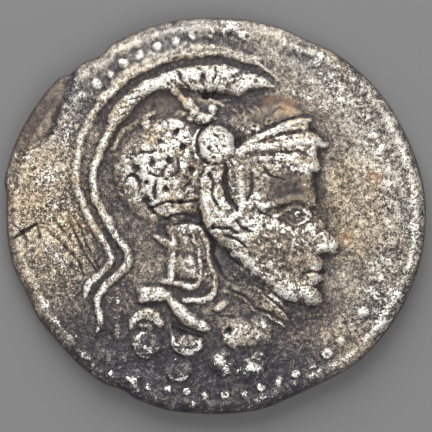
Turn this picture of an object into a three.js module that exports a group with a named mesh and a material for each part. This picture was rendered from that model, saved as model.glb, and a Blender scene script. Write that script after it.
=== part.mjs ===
// A struck silver tetradrachm, lying on its reverse. The obverse, facing up, has a helmeted head
// to the right inside a ring of beads. The reverse has an owl on an oil jar inside an olive wreath.
//
// Millimetres, +Z up. The origin is under the middle of the coin, on the surface it lies on.
// +X is the head's front and +Y is the top of its crest.
import * as THREE from "three";

// Flan: the cast blank, as the blow of the dies left it
const FLAN_WIDTH = 32.0;
const FLAN_HEIGHT = 30.2;
const FIELD_LEVEL = 2.3; // obverse field, at its middle
const FIELD_FALL = 0.22; // how much lower the field is at the edge
const EDGE_ROUND = 0.5; // how far the worn edge turns in, on either side
const RIM_INSET = 0.9; // raised rim, from the edge to its crest
const RIM_HALF_WIDTH = 0.5;
const RIM_HEIGHT = 0.16;
const LIP_WIDTH = 1.45; // flat lip of metal that flowed past the die
const LIP_DROP = 0.16;

// Obverse die
const DIE_RADIUS = 13.7; // middle of the ring of beads
const BEAD_RING = [-0.3, 0.25]; // its centre, a little off the flan's
const BEAD_COUNT = 61;
const BEAD_RADIUS = 0.42;
const BEAD_HEIGHT = 0.3;
const FACE_RELIEF = 0.92; // heights above the field
const NECK_RELIEF = 0.34;
const BROW_RELIEF = 0.34; // low swelling between the crest and the visor
const BOWL_RELIEF = 1.15;
const CREST_RELIEF = 0.72;
const OUTER_RIDGE_RELIEF = 0.42;
const VISOR_RELIEF = 1.2;
const DISC_RELIEF = 1.3;
const GUARD_RELIEF = 0.66;
const HAIR_RELIEF = 0.52;
const FORM_BLEND = 0.12; // how softly two forms run into each other

// Reverse die
const REVERSE_FIELD = 0.36; // reverse field, above the plane that its worn high spots lie in
const REVERSE_RIM = 1.1; // flat, worn rim
const REVERSE_RIM_SLOPE = 0.5;
const WREATH_RADIUS = 11.6;
const LEAVES_PER_BRANCH = 11;
const LEAF_RELIEF = 0.3;
const OWL_RELIEF = 0.5;
const JAR_RELIEF = 0.44;

// Mesh
const EDGE_POINTS = 132;
const EDGE_STEPS = 4;
const OBVERSE_SPACING = 0.85;
const REVERSE_SPACING = 1.1;
const GUIDE_SPACING = 0.44;
const GUIDE_GAP = 0.24;
const SHAKE = 0.02;

// Both dies are drawn in hundredths of the obverse die's radius.
const UNIT = DIE_RADIUS / 100;

// What makes the flan's outline uneven: the angle and half spread in degrees, and the amount in
// millimetres. A flat one keeps its full amount over most of its spread.
const OUTLINE_FLAWS = [
  { name: "lip", at: 155, spread: 20, amount: 0.4, flat: true },
  { name: "crack before the lip", at: 126, spread: 5, amount: -0.3 },
  { name: "bulge over the crest", at: 105, spread: 17, amount: 0.12 },
  { name: "flat, upper right", at: 63, spread: 8, amount: -0.17 },
  { name: "flat, right", at: 24, spread: 18, amount: -0.1 },
  { name: "dent, left", at: 202, spread: 9, amount: -0.26 },
  { name: "flat, lower left", at: 218, spread: 16, amount: -0.22 },
  { name: "nick, lower left", at: 241.5, spread: 5, amount: -0.24 },
  { name: "bulge, bottom", at: 256, spread: 10, amount: 0.1 },
  { name: "flat, lower right", at: 298, spread: 18, amount: -0.32 },
];

const smoothstep = THREE.MathUtils.smoothstep;

function smoothMax(a, b, blend) {
  const near = Math.max(blend - Math.abs(a - b), 0) / blend;
  return Math.max(a, b) + (near * near * blend) / 4;
}

// 1 at t = 0, falling smoothly to 0 at t = 1
function bell(t) {
  return Math.abs(t) < 1 ? (1 - t * t) ** 2 : 0;
}

function flatBell(t) {
  return 1 - smoothstep(Math.abs(t), 0.78, 1);
}

// Distance from the middle to the flan's edge, at an angle in radians
function edgeRadius(angle) {
  const halfWidth = FLAN_WIDTH / 2;
  const halfHeight = FLAN_HEIGHT / 2;
  const ellipse =
    (halfWidth * halfHeight) /
    Math.hypot(halfHeight * Math.cos(angle), halfWidth * Math.sin(angle));
  return OUTLINE_FLAWS.reduce((radius, flaw) => {
    const turn = angle - THREE.MathUtils.degToRad(flaw.at);
    const apart = THREE.MathUtils.radToDeg(Math.atan2(Math.sin(turn), Math.cos(turn)));
    const share = (flaw.flat ? flatBell : bell)(apart / flaw.spread);
    return radius + flaw.amount * share;
  }, ellipse);
}

function insetFromEdge(x, y) {
  return edgeRadius(Math.atan2(y, x)) - Math.hypot(x, y);
}

// A smooth curve through [x, y, half width] in die units, as close samples in millimetres
function drawn(points, closed = false) {
  const curve = new THREE.CatmullRomCurve3(
    points.map(([x, y, width = 1]) => new THREE.Vector3(x, y, width)),
    closed,
    "centripetal",
  );
  return curve.getPoints(points.length * 6).map((p) => p.multiplyScalar(UNIT));
}

// The nearest place on a drawn curve: its distance, and the half width there
function nearestOn(samples, x, y) {
  let best = { distance: Infinity, halfWidth: 1 };
  for (let i = 1; i < samples.length; i++) {
    const a = samples[i - 1];
    const b = samples[i];
    const dx = b.x - a.x;
    const dy = b.y - a.y;
    const along = ((x - a.x) * dx + (y - a.y) * dy) / (dx * dx + dy * dy || 1);
    const t = THREE.MathUtils.clamp(along, 0, 1);
    const distance = Math.hypot(x - a.x - t * dx, y - a.y - t * dy);
    if (distance < best.distance) {
      best = { distance, halfWidth: a.z + t * (b.z - a.z) };
    }
  }
  return best;
}

// Points along a curve, on either side of it, and on the ground past its ends
function guidesAlong(samples) {
  const guides = [];
  const last = samples.length - 1;
  let since = GUIDE_SPACING;
  samples.forEach((p, i) => {
    const [a, b] = [samples[Math.max(i - 1, 0)], samples[Math.min(i + 1, last)]];
    since += i ? Math.hypot(p.x - a.x, p.y - a.y) : 0;
    if (since < GUIDE_SPACING && i < last) return;
    since = 0;
    const reach = Math.max(p.z, GUIDE_GAP * 1.05) / (Math.hypot(b.x - a.x, b.y - a.y) || 1);
    const [ux, uy] = [(b.x - a.x) * reach, (b.y - a.y) * reach];
    guides.push([p.x, p.y], [p.x - uy, p.y + ux], [p.x + uy, p.y - ux]);
    if (i === 0) guides.push([p.x - ux, p.y - uy]);
    if (i === last) guides.push([p.x + ux, p.y + uy]);
  });
  return guides;
}

// A raised line, rounded across, that sinks where it narrows. A negative height makes it a groove.
function ridge(points, height) {
  const samples = drawn(points);
  const full = 0.7 * Math.max(...samples.map((p) => p.z));
  return {
    guides: guidesAlong(samples),
    lift(x, y) {
      const { distance, halfWidth } = nearestOn(samples, x, y);
      return height * bell(distance / halfWidth) * Math.min(halfWidth / full, 1);
    },
  };
}

// A rounded swelling. A negative height makes it a hollow.
function mound(x0, y0, rx, ry, height, turnDegrees = 0) {
  const turn = THREE.MathUtils.degToRad(turnDegrees);
  const [cos, sin] = [Math.cos(turn), Math.sin(turn)];
  const guides = [[x0 * UNIT, y0 * UNIT]];
  const size = Math.min(rx, ry) * UNIT;
  for (const ring of size > 2 ? [0.35, 0.65, 0.87, 1] : size > 0.8 ? [0.6, 1] : [1]) {
    const around = Math.max(6, Math.round((Math.PI * ring * (rx + ry) * UNIT) / GUIDE_SPACING));
    for (let i = 0; i < around; i++) {
      const a = (2 * Math.PI * i) / around;
      const [u, v] = [rx * ring * Math.cos(a), ry * ring * Math.sin(a)];
      guides.push([(x0 + u * cos - v * sin) * UNIT, (y0 + u * sin + v * cos) * UNIT]);
    }
  }
  return {
    guides,
    lift(x, y) {
      const [dx, dy] = [x / UNIT - x0, y / UNIT - y0];
      const d = Math.hypot((dx * cos + dy * sin) / rx, (dy * cos - dx * sin) / ry);
      return d < 1 ? height * (1 - d ** 2.6) : 0;
    },
  };
}

// A raised area inside a closed outline, with a rounded shoulder of the given width in millimetres
function plate(points, height, shoulder) {
  const samples = drawn(points, true);
  const inner = samples.map((p) => [p.x, p.y]);
  return {
    guides: guidesAlong(samples.map((p) => p.clone().setZ(shoulder * 0.5))),
    lift(x, y) {
      let inside = false;
      for (let i = 0, j = inner.length - 1; i < inner.length; j = i++) {
        const [[xi, yi], [xj, yj]] = [inner[i], inner[j]];
        if (yi > y !== yj > y && x < ((xj - xi) * (y - yi)) / (yj - yi) + xi) {
          inside = !inside;
        }
      }
      if (!inside) return 0;
      const t = Math.min(nearestOn(samples, x, y).distance / shoulder, 1);
      return height * (1 - (1 - t) ** 2);
    },
  };
}

// A ring, raised or sunk
function hoop(x0, y0, radius, halfWidth, height) {
  const guides = [];
  for (const r of [radius - halfWidth, radius, radius + halfWidth]) {
    const around = Math.round((2 * Math.PI * r * UNIT) / GUIDE_SPACING);
    for (let i = 0; i < around; i++) {
      const a = (2 * Math.PI * i) / around;
      guides.push([(x0 + r * Math.cos(a)) * UNIT, (y0 + r * Math.sin(a)) * UNIT]);
    }
  }
  return {
    guides,
    lift(x, y) {
      const r = Math.hypot(x / UNIT - x0, y / UNIT - y0);
      return height * bell((r - radius) / halfWidth);
    },
  };
}

// A lock of hair that curls into a ring with a sunk middle
function curl(x, y, radius, height) {
  const swelling = mound(x, y, radius, radius, height);
  const eye = mound(x, y, radius * 0.45, radius * 0.45, -height * 0.6);
  return {
    guides: [...swelling.guides, ...eye.guides],
    lift: (px, py) => swelling.lift(px, py) + eye.lift(px, py),
  };
}

// Face: an ideal profile on the canon of thirds, from the hairline to the brow, the brow to the
// base of the nose and the base of the nose to the chin. FACE gives the foot of the profile's
// upright, and its length, in die units. Every [forward, up] below is a share of that length.
const FACE = { x: 56, y: -50, length: 86 };
const BROW = 2 / 3;
const NOSE_BASE = 1 / 3;
const MOUTH = NOSE_BASE * (2 / 3);
const EYE = BROW - 0.07;

function onFace([forward, up, halfWidth = 0.02]) {
  return [
    FACE.x + forward * FACE.length,
    FACE.y + up * FACE.length,
    halfWidth * FACE.length,
  ];
}

function faceRidge(points, height) {
  return ridge(points.map(onFace), height);
}

function faceMound(forward, up, rForward, rUp, height) {
  const [x, y] = onFace([forward, up]);
  return mound(x, y, rForward * FACE.length, rUp * FACE.length, height);
}

const PROFILE = [
  [-0.07, 1.0],
  [-0.01, 0.86],
  [0.005, BROW + 0.04],
  [0.0, BROW - 0.05],
  [0.07, BROW - 0.17],
  [0.145, NOSE_BASE + 0.07],
  [0.12, NOSE_BASE + 0.01],
  [0.045, NOSE_BASE],
  [0.06, MOUTH + 0.05],
  [0.035, MOUTH],
  [0.052, MOUTH - 0.045],
  [0.015, MOUTH - 0.095],
  [0.04, 0.06],
  [0.0, 0.0],
];

const JAW = [
  [40, -48],
  [26, -39],
  [11, -27],
  [-2, -14],
  [-12, 8],
  [-5, 30],
  [24, 46],
];

const NECK = [
  [-2, -12],
  [-2, -42],
  [10.5, -43.5],
  [17, -48],
  [24, -54],
  [31.5, -58.5],
  [40, -60],
  [38, -50],
  [40, -44],
  [24, -28],
];

function faceForms() {
  return {
    over: [
      plate([...PROFILE.map(onFace), ...JAW], FACE_RELIEF, 0.9),
      plate(NECK, NECK_RELIEF, 0.8),
    ],
    onTop: [
      faceMound(-0.17, EYE, 0.14, 0.075, -0.26),
      faceMound(-0.15, EYE, 0.06, 0.038, 0.2),
      faceRidge(
        [[-0.03, BROW - 0.01, 0.03], [-0.15, BROW + 0.03, 0.04], [-0.32, BROW - 0.02, 0.03]],
        0.16,
      ),
      faceRidge(
        [[-0.08, EYE - 0.01, 0.018], [-0.15, EYE + 0.04, 0.022], [-0.25, EYE - 0.005, 0.018]],
        0.14,
      ),
      faceMound(-0.3, 0.4, 0.21, 0.17, 0.2),
      faceRidge([[0.0, BROW - 0.08, 0.05], [0.08, NOSE_BASE + 0.09, 0.055]], 0.1),
      faceMound(0.035, NOSE_BASE + 0.045, 0.055, 0.042, 0.16),
      faceMound(0.015, MOUTH + 0.04, 0.05, 0.026, 0.12),
      faceMound(0.01, MOUTH - 0.04, 0.045, 0.028, 0.12),
      faceRidge([[0.04, MOUTH, 0.016], [-0.07, MOUTH, 0.016]], -0.14),
      faceMound(-0.03, 0.075, 0.08, 0.075, 0.14),
    ],
  };
}

// The crest's brush of hair, which narrows into the inner of two long ridges
const BRUSH = [
  [-61, 50.5], [-56.5, 60.7], [-50.5, 67.5], [-45, 72], [-36.5, 76.5], [-28, 79.8], [-19.6, 82.7],
  [-8.4, 84], [0, 83.8], [11, 82.7], [19.6, 80], [26.3, 77], [31, 73.7], [32.7, 71.5], [28, 69.8],
  [19.6, 68.2], [12.3, 66], [5.6, 67.4], [-1.7, 69], [-8.4, 68.6], [-17, 69.6], [-24, 69.8],
  [-31, 68.4], [-36.5, 66.8], [-41, 62.7], [-48.8, 54.6], [-54.5, 48], [-59, 42],
];

const VISOR = [
  [9, 34], [22, 44], [38, 51], [51, 53.5], [53, 48], [60, 42.5], [57, 36], [56, 26], [42, 28],
  [26, 28], [13, 28.5],
];

function helmetForms() {
  return {
    over: [
      // The round boss over the ear
      mound(1, 38.5, 9.8, 10.6, DISC_RELIEF),
      mound(-27, 24.5, 31, 29.5, BOWL_RELIEF),
      plate([[-6, 48], [20, 60], [42, 62], [50, 52], [24, 44], [4, 34]], BROW_RELIEF, 0.8),
      plate(BRUSH, CREST_RELIEF, 0.5),
      ridge(
        [
          [-52, 57, 5], [-61.5, 42, 3.8], [-67, 26, 3.4], [-67.5, 14, 3.4], [-62.5, 4, 3.4],
          [-50.5, -18.5, 3.4], [-48.5, -25.5, 3.6], [-53.5, -32, 3.4], [-65, -45, 3.2],
          [-63.5, -59.5, 2.8], [-67, -66, 2],
        ],
        CREST_RELIEF * 0.86,
      ),
      ridge(
        [
          [33.5, 77, 1.5], [14, 87.5, 2.5], [-8.5, 89.5, 3], [-30.5, 86, 3], [-50, 75.5, 3.2],
          [-64.5, 61.5, 3.3], [-74, 43.5, 3.3], [-77, 20, 3.5], [-72, 4, 3.5], [-61.5, -15, 3.4],
          [-58, -24, 3.3], [-62, -31, 3.2], [-71, -41, 2.5],
        ],
        OUTER_RIDGE_RELIEF,
      ),
      ridge([[-36.5, 55.5, 2], [-44.5, 51, 2.6], [-56, 39, 2]], 0.4),
      // The stand that carries the crest on the helmet
      ridge([[-23, 70, 2.4], [-17, 62, 3], [-8, 51.5, 3.8]], 0.6),
      mound(-15.5, 61, 5.4, 3.6, 0.66, -15),
      mound(-1.6, 58.5, 3, 4, 0.62, 10),
      mound(-5, 52.5, 6.6, 3.2, 0.66, 6),
      // The visor: a rib above, a broader one below, and the turned-down lip
      plate(VISOR, VISOR_RELIEF * 0.72, 0.45),
      ridge([[10.5, 35, 3], [27, 45.5, 3.4], [38, 50, 3.2], [52, 53, 2]], VISOR_RELIEF * 0.94),
      ridge([[9.5, 33, 3.4], [30.5, 39, 4.4], [51.5, 41, 3.6], [61.5, 39.5, 1.8]], VISOR_RELIEF),
      ridge([[11, 30.5, 3], [26, 32, 4], [41.5, 31, 4.4], [55, 27, 3.2]], VISOR_RELIEF * 0.9),
      // The cheek-piece below the boss, and a lock before the ear
      ridge([[-1.5, 30, 3.6], [-6, 21, 4.8], [-6.5, 11.5, 5], [-4.5, -5, 3.2]], BOWL_RELIEF),
      ridge([[-4.5, 11, 2.4], [0, 4.5, 3.2], [9.5, -5.5, 2.6]], BOWL_RELIEF * 0.95),
      mound(10.5, 13, 4.4, 10, BOWL_RELIEF, 6),
    ],
    onTop: [
      // The sunk ring around the boss
      hoop(1, 38.5, 11.6, 2.2, -0.42),
      mound(13, 24.5, 3.8, 5.4, 0.22),
      // The step where the bowl ends above the neck guard
      ridge([[-34.5, 4, 1.6], [-26.5, 6.5, 1.6], [-10, 8, 1.6]], -0.3),
    ],
  };
}

function guardForms() {
  return {
    over: [
      // A sunk panel of the neck guard, and the three bands that frame it
      plate([[-27, -4], [-24, -32], [-12, -37], [-3, -42], [0, -30], [-8, -4]], GUARD_RELIEF / 2, 0.5),
      ridge(
        [[-33, -11.5, 2.4], [-28, -13.5, 3], [-24, -19, 3.3], [-23.5, -27, 3.2], [-25, -35, 2.6]],
        GUARD_RELIEF,
      ),
      ridge(
        [[-29, -35.5, 2.4], [-14, -39, 2.5], [-9.5, -33, 2.4], [-10, -22, 2.2], [-14, -6.5, 2]],
        GUARD_RELIEF,
      ),
      ridge(
        [[-9, -8, 2.4], [-5, -20.5, 2.4], [-1, -34.5, 2.8], [-4, -44.5, 2.5], [-17, -45.5, 2]],
        GUARD_RELIEF,
      ),
    ],
    onTop: [],
  };
}

function hairForms() {
  return {
    over: [
      plate(
        [
          [-43.5, -38.5], [-35, -38], [-27.8, -39], [-25.5, -43], [-28, -47], [-36, -47.5],
          [-43.5, -47.5], [-44.5, -43],
        ],
        HAIR_RELIEF,
        0.4,
      ),
      ridge(
        [[-26, -43.5, 3.2], [-20, -51.5, 4.6], [-15, -56.5, 4.6], [-5, -61, 2.6]],
        HAIR_RELIEF * 1.15,
      ),
      ridge([[-46, -62, 3], [-44, -57, 4], [-38, -54, 4.8], [-31, -58.5, 3.6]], HAIR_RELIEF),
      mound(-38.5, -61, 4.4, 3, HAIR_RELIEF * 0.8),
      curl(-38.5, -71, 8.4, HAIR_RELIEF),
      mound(-16, -70, 9.6, 5.8, HAIR_RELIEF),
      curl(-20.5, -85, 7.8, HAIR_RELIEF * 0.7),
      mound(14.5, -65.5, 12.5, 10, HAIR_RELIEF, -18),
      mound(23, -64, 8, 9.5, HAIR_RELIEF * 0.7, -18),
      mound(3.5, -81.5, 9.6, 8, HAIR_RELIEF, -30),
      mound(18.5, -84, 9.2, 7.6, HAIR_RELIEF, 20),
      mound(22, -77, 5.4, 4.4, HAIR_RELIEF * 0.9),
      mound(-54.5, -64.5, 3, 5.4, HAIR_RELIEF * 0.6),
      mound(2, -49.5, 5, 3, HAIR_RELIEF * 0.6, 25),
    ],
    onTop: [],
  };
}

function beads() {
  const [x0, y0] = BEAD_RING;
  return Array.from({ length: BEAD_COUNT }, (_, i) => {
    const angle = (2 * Math.PI * i) / BEAD_COUNT;
    const x = x0 + DIE_RADIUS * Math.cos(angle);
    const y = y0 + DIE_RADIUS * Math.sin(angle);
    // The border is worn away on the left, where the metal was thinnest under the die.
    const worn = smoothstep(Math.abs(THREE.MathUtils.radToDeg(angle) - 190), 32, 62);
    const radius = BEAD_RADIUS / UNIT;
    return mound(x / UNIT, y / UNIT, radius, radius, BEAD_HEIGHT * worn);
  });
}

// Height of the bare obverse field: domed, with a raised rim, and lower on the lip at upper left
function fieldLift(x, y) {
  const share = Math.hypot(x / FLAN_WIDTH, y / FLAN_HEIGHT) * 2;
  const inset = insetFromEdge(x, y);
  const rim = RIM_HEIGHT * bell((inset - RIM_INSET) / RIM_HALF_WIDTH);
  const angle = THREE.MathUtils.radToDeg(Math.atan2(y, x));
  const lip = flatBell((angle - 155) / 20) * (1 - smoothstep(inset, LIP_WIDTH * 0.7, LIP_WIDTH));
  return FIELD_LEVEL - FIELD_FALL * share ** 2 + rim * (1 - lip) - LIP_DROP * lip;
}

const OBVERSE = [helmetForms(), faceForms(), guardForms(), hairForms(), { over: beads(), onTop: [] }];
const OBVERSE_OVER = OBVERSE.flatMap((group) => group.over);
const OBVERSE_ON_TOP = OBVERSE.flatMap((group) => group.onTop);

function obverseLevel(x, y) {
  const carved = OBVERSE_OVER.reduce((h, form) => {
    const lift = form.lift(x, y);
    return lift > 0 ? smoothMax(h, lift, Math.min(FORM_BLEND, lift)) : h;
  }, 0);
  return fieldLift(x, y) + OBVERSE_ON_TOP.reduce((h, form) => h + form.lift(x, y), carved);
}

// Reverse forms are drawn as they are seen from below, so X is mirrored where they are used.
function wreathForms() {
  const radius = WREATH_RADIUS / UNIT;
  const leaves = [];
  for (const side of [-1, 1]) {
    for (let i = 0; i < LEAVES_PER_BRANCH; i++) {
      const angle = 270 + side * (12 + (154 * i) / (LEAVES_PER_BRANCH - 1));
      for (const lean of [-1, 1]) {
        // Each leaf starts at the stem and leans away from it, towards the branch's tip.
        const at = (ahead, out) => {
          const a = THREE.MathUtils.degToRad(angle + side * ahead);
          return [(radius + out) * Math.cos(a), (radius + out) * Math.sin(a)];
        };
        const points = [[...at(0, lean), 1.4], [...at(4.5, 4.5 * lean), 3.2], [...at(9, 8 * lean), 1]];
        leaves.push(ridge(points, LEAF_RELIEF));
      }
    }
  }
  return leaves;
}

function jarForms() {
  return [
    mound(0, -40, 27, 11, JAR_RELIEF),
    ridge([[24, -40, 5], [38, -40, 4]], JAR_RELIEF * 0.9),
    mound(41, -40, 3, 7, JAR_RELIEF * 0.9),
    ridge([[-25, -40, 4], [-34, -40, 4.5]], JAR_RELIEF * 0.8),
    ridge([[36, -34, 2], [27, -27, 2.4], [16, -31, 2]], JAR_RELIEF * 0.7),
  ];
}

function owlForms() {
  return [
    mound(-3, 4, 17, 27, OWL_RELIEF, -14),
    ridge([[-14, 22, 5], [-20, 2, 7], [-27, -18, 5], [-30, -30, 3]], OWL_RELIEF * 0.9),
    mound(6, 34, 15, 13, OWL_RELIEF * 1.1),
    ridge([[-1, -18, 2.6], [0, -28, 3]], OWL_RELIEF * 0.8),
    ridge([[8, -17, 2.6], [10, -28, 3]], OWL_RELIEF * 0.8),
    mound(0, 35, 4.2, 4.2, -0.16),
    mound(12, 35, 4.2, 4.2, -0.16),
    ridge([[6, 35, 1.8], [6, 28, 1.8]], 0.1),
  ];
}

const REVERSE = [...wreathForms(), ...jarForms(), ...owlForms()];

function reverseLevel(x, y) {
  const rim = 1 - smoothstep(insetFromEdge(x, y), REVERSE_RIM, REVERSE_RIM + REVERSE_RIM_SLOPE);
  const carved = REVERSE.reduce((h, form) => {
    const lift = form.lift(-x, y);
    return lift >= 0 ? Math.max(h, lift) : h + lift;
  }, REVERSE_FIELD * rim);
  return Math.max(0, REVERSE_FIELD - carved);
}

// Delaunay triangulation of points in the plane, adding one at a time, the edge ring last
function delaunay(points) {
  const far = 400;
  const all = [...points, [-far, -far], [far, -far], [0, far]];
  const made = (a, b, c) => {
    const [[ax, ay], [bx, by], [cx, cy]] = [all[a], all[b], all[c]];
    const d = 2 * ((bx - ax) * (cy - ay) - (by - ay) * (cx - ax));
    const [b2, c2] = [(bx - ax) ** 2 + (by - ay) ** 2, (cx - ax) ** 2 + (cy - ay) ** 2];
    const ux = ((cy - ay) * b2 - (by - ay) * c2) / d;
    const uy = ((bx - ax) * c2 - (cx - ax) * b2) / d;
    return { corners: [a, b, c], x: ax + ux, y: ay + uy, r2: ux * ux + uy * uy };
  };
  let triangles = [made(points.length, points.length + 1, points.length + 2)];
  for (let i = points.length - 1; i >= 0; i--) {
    const [x, y] = points[i];
    const rim = new Map();
    triangles = triangles.filter((t) => {
      if ((x - t.x) ** 2 + (y - t.y) ** 2 > t.r2) return true;
      t.corners.forEach((a, k) => {
        const b = t.corners[(k + 1) % 3];
        if (!rim.delete(b + "," + a)) rim.set(a + "," + b, [a, b]);
      });
      return false;
    });
    for (const [a, b] of rim.values()) triangles.push(made(a, b, i));
  }
  return triangles.map((t) => t.corners).filter((c) => Math.max(...c) < points.length);
}

function edgeRing(inset) {
  return Array.from({ length: EDGE_POINTS }, (_, i) => {
    const angle = (2 * Math.PI * i) / EDGE_POINTS;
    const radius = edgeRadius(angle) - inset;
    return [radius * Math.cos(angle), radius * Math.sin(angle)];
  });
}

// A repeatable number from -0.5 to 0.5 for each whole number
function scatter(n) {
  const s = Math.sin(n * 12.9898) * 43758.5453;
  return s - Math.floor(s) - 0.5;
}

// One face of the coin as points and triangles: the edge ring, more rings inside it for the rim,
// the guides of the forms, and a lattice that fills what is left
function meshedFace(guides, rimInsets, spacing) {
  const points = edgeRing(EDGE_ROUND);
  const add = ([x, y], gap) => {
    if (insetFromEdge(x, y) < Math.min(...rimInsets) - 0.01) return;
    if (points.some(([px, py]) => Math.hypot(px - x, py - y) < gap)) return;
    // Shaken a little, so that no four of them share a circle
    const n = points.length;
    points.push([x + SHAKE * scatter(n), y + SHAKE * scatter(n + 0.5)]);
  };
  for (const inset of rimInsets) edgeRing(inset).forEach((p) => add(p, GUIDE_SPACING));
  for (const guide of guides) add(guide, GUIDE_GAP);
  const rows = Math.ceil(FLAN_HEIGHT / spacing);
  const columns = Math.ceil(FLAN_WIDTH / spacing);
  for (let j = -rows; j <= rows; j++) {
    for (let i = -columns; i <= columns; i++) {
      add([(i + (j % 2) / 2) * spacing, j * spacing * 0.87], spacing * 0.75);
    }
  }
  // Between three points of the edge ring, a triangle is on the coin only if it follows their order.
  const onFlan = ([a, b, c]) =>
    Math.max(a, b, c) >= EDGE_POINTS || (a < b && b < c) || (b < c && c < a) || (c < a && a < b);
  return { points, triangles: delaunay(points).filter(onFlan) };
}

function coinGeometry() {
  const position = [];
  const index = [];
  const put = (x, y, z) => position.push(x, y, z) / 3 - 1;
  const turned = ([a, b, c], up) => {
    const p = (i) => position.slice(3 * i, 3 * i + 2);
    const [[ax, ay], [bx, by], [cx, cy]] = [p(a), p(b), p(c)];
    const area = (bx - ax) * (cy - ay) - (by - ay) * (cx - ax);
    return area > 0 === up ? [a, b, c] : [a, c, b];
  };

  const guides = [...OBVERSE_ON_TOP, ...OBVERSE_OVER].flatMap((f) => f.guides);
  const top = meshedFace(guides, [RIM_INSET], OBVERSE_SPACING);
  const mirrored = REVERSE.flatMap((f) => f.guides).map(([x, y]) => [-x, y]);
  const reverseRims = [REVERSE_RIM, REVERSE_RIM + REVERSE_RIM_SLOPE];
  const bottom = meshedFace(mirrored, reverseRims, REVERSE_SPACING);
  const topAt = top.points.map(([x, y]) => put(x, y, obverseLevel(x, y)));
  const bottomAt = bottom.points.map(([x, y]) => put(x, y, reverseLevel(x, y)));
  for (const t of top.triangles) index.push(...turned(t.map((i) => topAt[i]), true));
  for (const t of bottom.triangles) index.push(...turned(t.map((i) => bottomAt[i]), false));

  // The edge, from the top ring down to the bottom one, rounded between them
  const rings = [topAt.slice(0, EDGE_POINTS)];
  for (let k = 1; k < EDGE_STEPS; k++) {
    const lean = Math.PI * (0.5 - k / EDGE_STEPS);
    const ring = edgeRing(EDGE_ROUND * (1 - Math.cos(lean)));
    rings.push(ring.map(([x, y], i) => {
      const [high, low] = [position[3 * topAt[i] + 2], position[3 * bottomAt[i] + 2]];
      return put(x, y, (high + low) / 2 + ((high - low) / 2) * Math.sin(lean));
    }));
  }
  rings.push(bottomAt.slice(0, EDGE_POINTS));
  for (let k = 0; k < EDGE_STEPS; k++) {
    for (let i = 0; i < EDGE_POINTS; i++) {
      const j = (i + 1) % EDGE_POINTS;
      const [a, b, c, d] = [rings[k][i], rings[k][j], rings[k + 1][i], rings[k + 1][j]];
      index.push(a, c, b, b, c, d);
    }
  }

  const geometry = new THREE.BufferGeometry();
  geometry.setAttribute("position", new THREE.Float32BufferAttribute(position, 3));
  geometry.setIndex(index);
  geometry.computeBoundingBox();
  const middle = geometry.boundingBox.getCenter(new THREE.Vector3());
  geometry.translate(-middle.x, -middle.y, -geometry.boundingBox.min.z);
  geometry.computeVertexNormals();
  return geometry;
}

const silver = new THREE.MeshStandardMaterial({ color: 0x8f877c, roughness: 0.5, metalness: 0.85 });
const coin = new THREE.Mesh(coinGeometry(), silver);
coin.name = "tetradrachm";

const part = new THREE.Group();
part.add(coin);

export default part;
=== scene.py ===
# A struck silver tetradrachm lying on its reverse, seen from straight above.
# Heights are worked out in millimetres over a square grid, then carried to the coin's mesh in metres.
import math

import bpy
import numpy as np
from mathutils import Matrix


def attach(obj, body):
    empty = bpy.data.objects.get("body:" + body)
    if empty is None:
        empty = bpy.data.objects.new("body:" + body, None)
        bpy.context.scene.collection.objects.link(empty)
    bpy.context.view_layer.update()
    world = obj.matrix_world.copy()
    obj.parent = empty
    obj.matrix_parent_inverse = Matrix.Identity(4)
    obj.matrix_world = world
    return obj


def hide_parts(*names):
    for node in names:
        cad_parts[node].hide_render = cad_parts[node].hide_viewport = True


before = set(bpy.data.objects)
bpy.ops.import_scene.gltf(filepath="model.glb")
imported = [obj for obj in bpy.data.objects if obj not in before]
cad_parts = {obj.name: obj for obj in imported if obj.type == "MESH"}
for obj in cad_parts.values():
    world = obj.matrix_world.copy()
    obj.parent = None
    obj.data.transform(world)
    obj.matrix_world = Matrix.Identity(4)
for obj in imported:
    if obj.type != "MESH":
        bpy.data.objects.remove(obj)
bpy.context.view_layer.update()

# Flan, in millimetres, as the solid has it
FLAN_WIDTH = 32.0
FLAN_HEIGHT = 30.2
FIELD_LEVEL = 2.3
FIELD_FALL = 0.22
EDGE_ROUND = 0.5
RIM_INSET = 0.9
RIM_HALF_WIDTH = 0.5
RIM_HEIGHT = 0.16
LIP_AT = 155  # degrees
LIP_SPREAD = 20
LIP_WIDTH = 1.45
LIP_DROP = 0.16

# Obverse die
DIE_RADIUS = 13.7
UNIT = DIE_RADIUS / 100  # the drawing's unit
BEAD_RING_X = -0.3
BEAD_RING_Y = 0.25
BEAD_COUNT = 61
BEAD_PHASE = 2.3  # degrees from the X axis to the first bead
BEAD_RADIUS = 0.4
BEAD_HEIGHT = 0.3
CLEAR_BEADS = 118  # degrees, the middle of the clear beads at the upper left
FACE_RELIEF = 0.92
NECK_RELIEF = 0.3
BOWL_RELIEF = 1.15
CREST_RELIEF = 0.72
OUTER_RIDGE_RELIEF = 0.42
VISOR_RELIEF = 1.2
DISC_RELIEF = 1.3
GUARD_RELIEF = 0.66
HAIR_RELIEF = 0.52

# Reverse die
REVERSE_FIELD = 0.36
REVERSE_RIM = 1.1
REVERSE_RIM_SLOPE = 0.5
WREATH_RADIUS = 11.6
LEAVES_PER_BRANCH = 11
LEAF_RELIEF = 0.3
OWL_RELIEF = 0.5
JAR_RELIEF = 0.44

# Mesh and grid
OBVERSE_RINGS = 156
REVERSE_RINGS = 78
EDGE_STEPS = 9
EDGE_DENT = 0.02
EDGE_INSET = 0.03
PITCH = 0.05
REACH = 16.6

OUTLINE_FLAWS = [
    # angle, half spread in degrees, amount in millimetres, flat-topped
    (LIP_AT, LIP_SPREAD, 0.4, True), (126, 5, -0.3, False), (105, 17, 0.12, False), (63, 8, -0.17, False),
    (24, 18, -0.1, False), (202, 9, -0.26, False), (218, 16, -0.22, False), (241.5, 5, -0.24, False),
    (256, 10, 0.1, False), (298, 18, -0.32, False),
]

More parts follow.
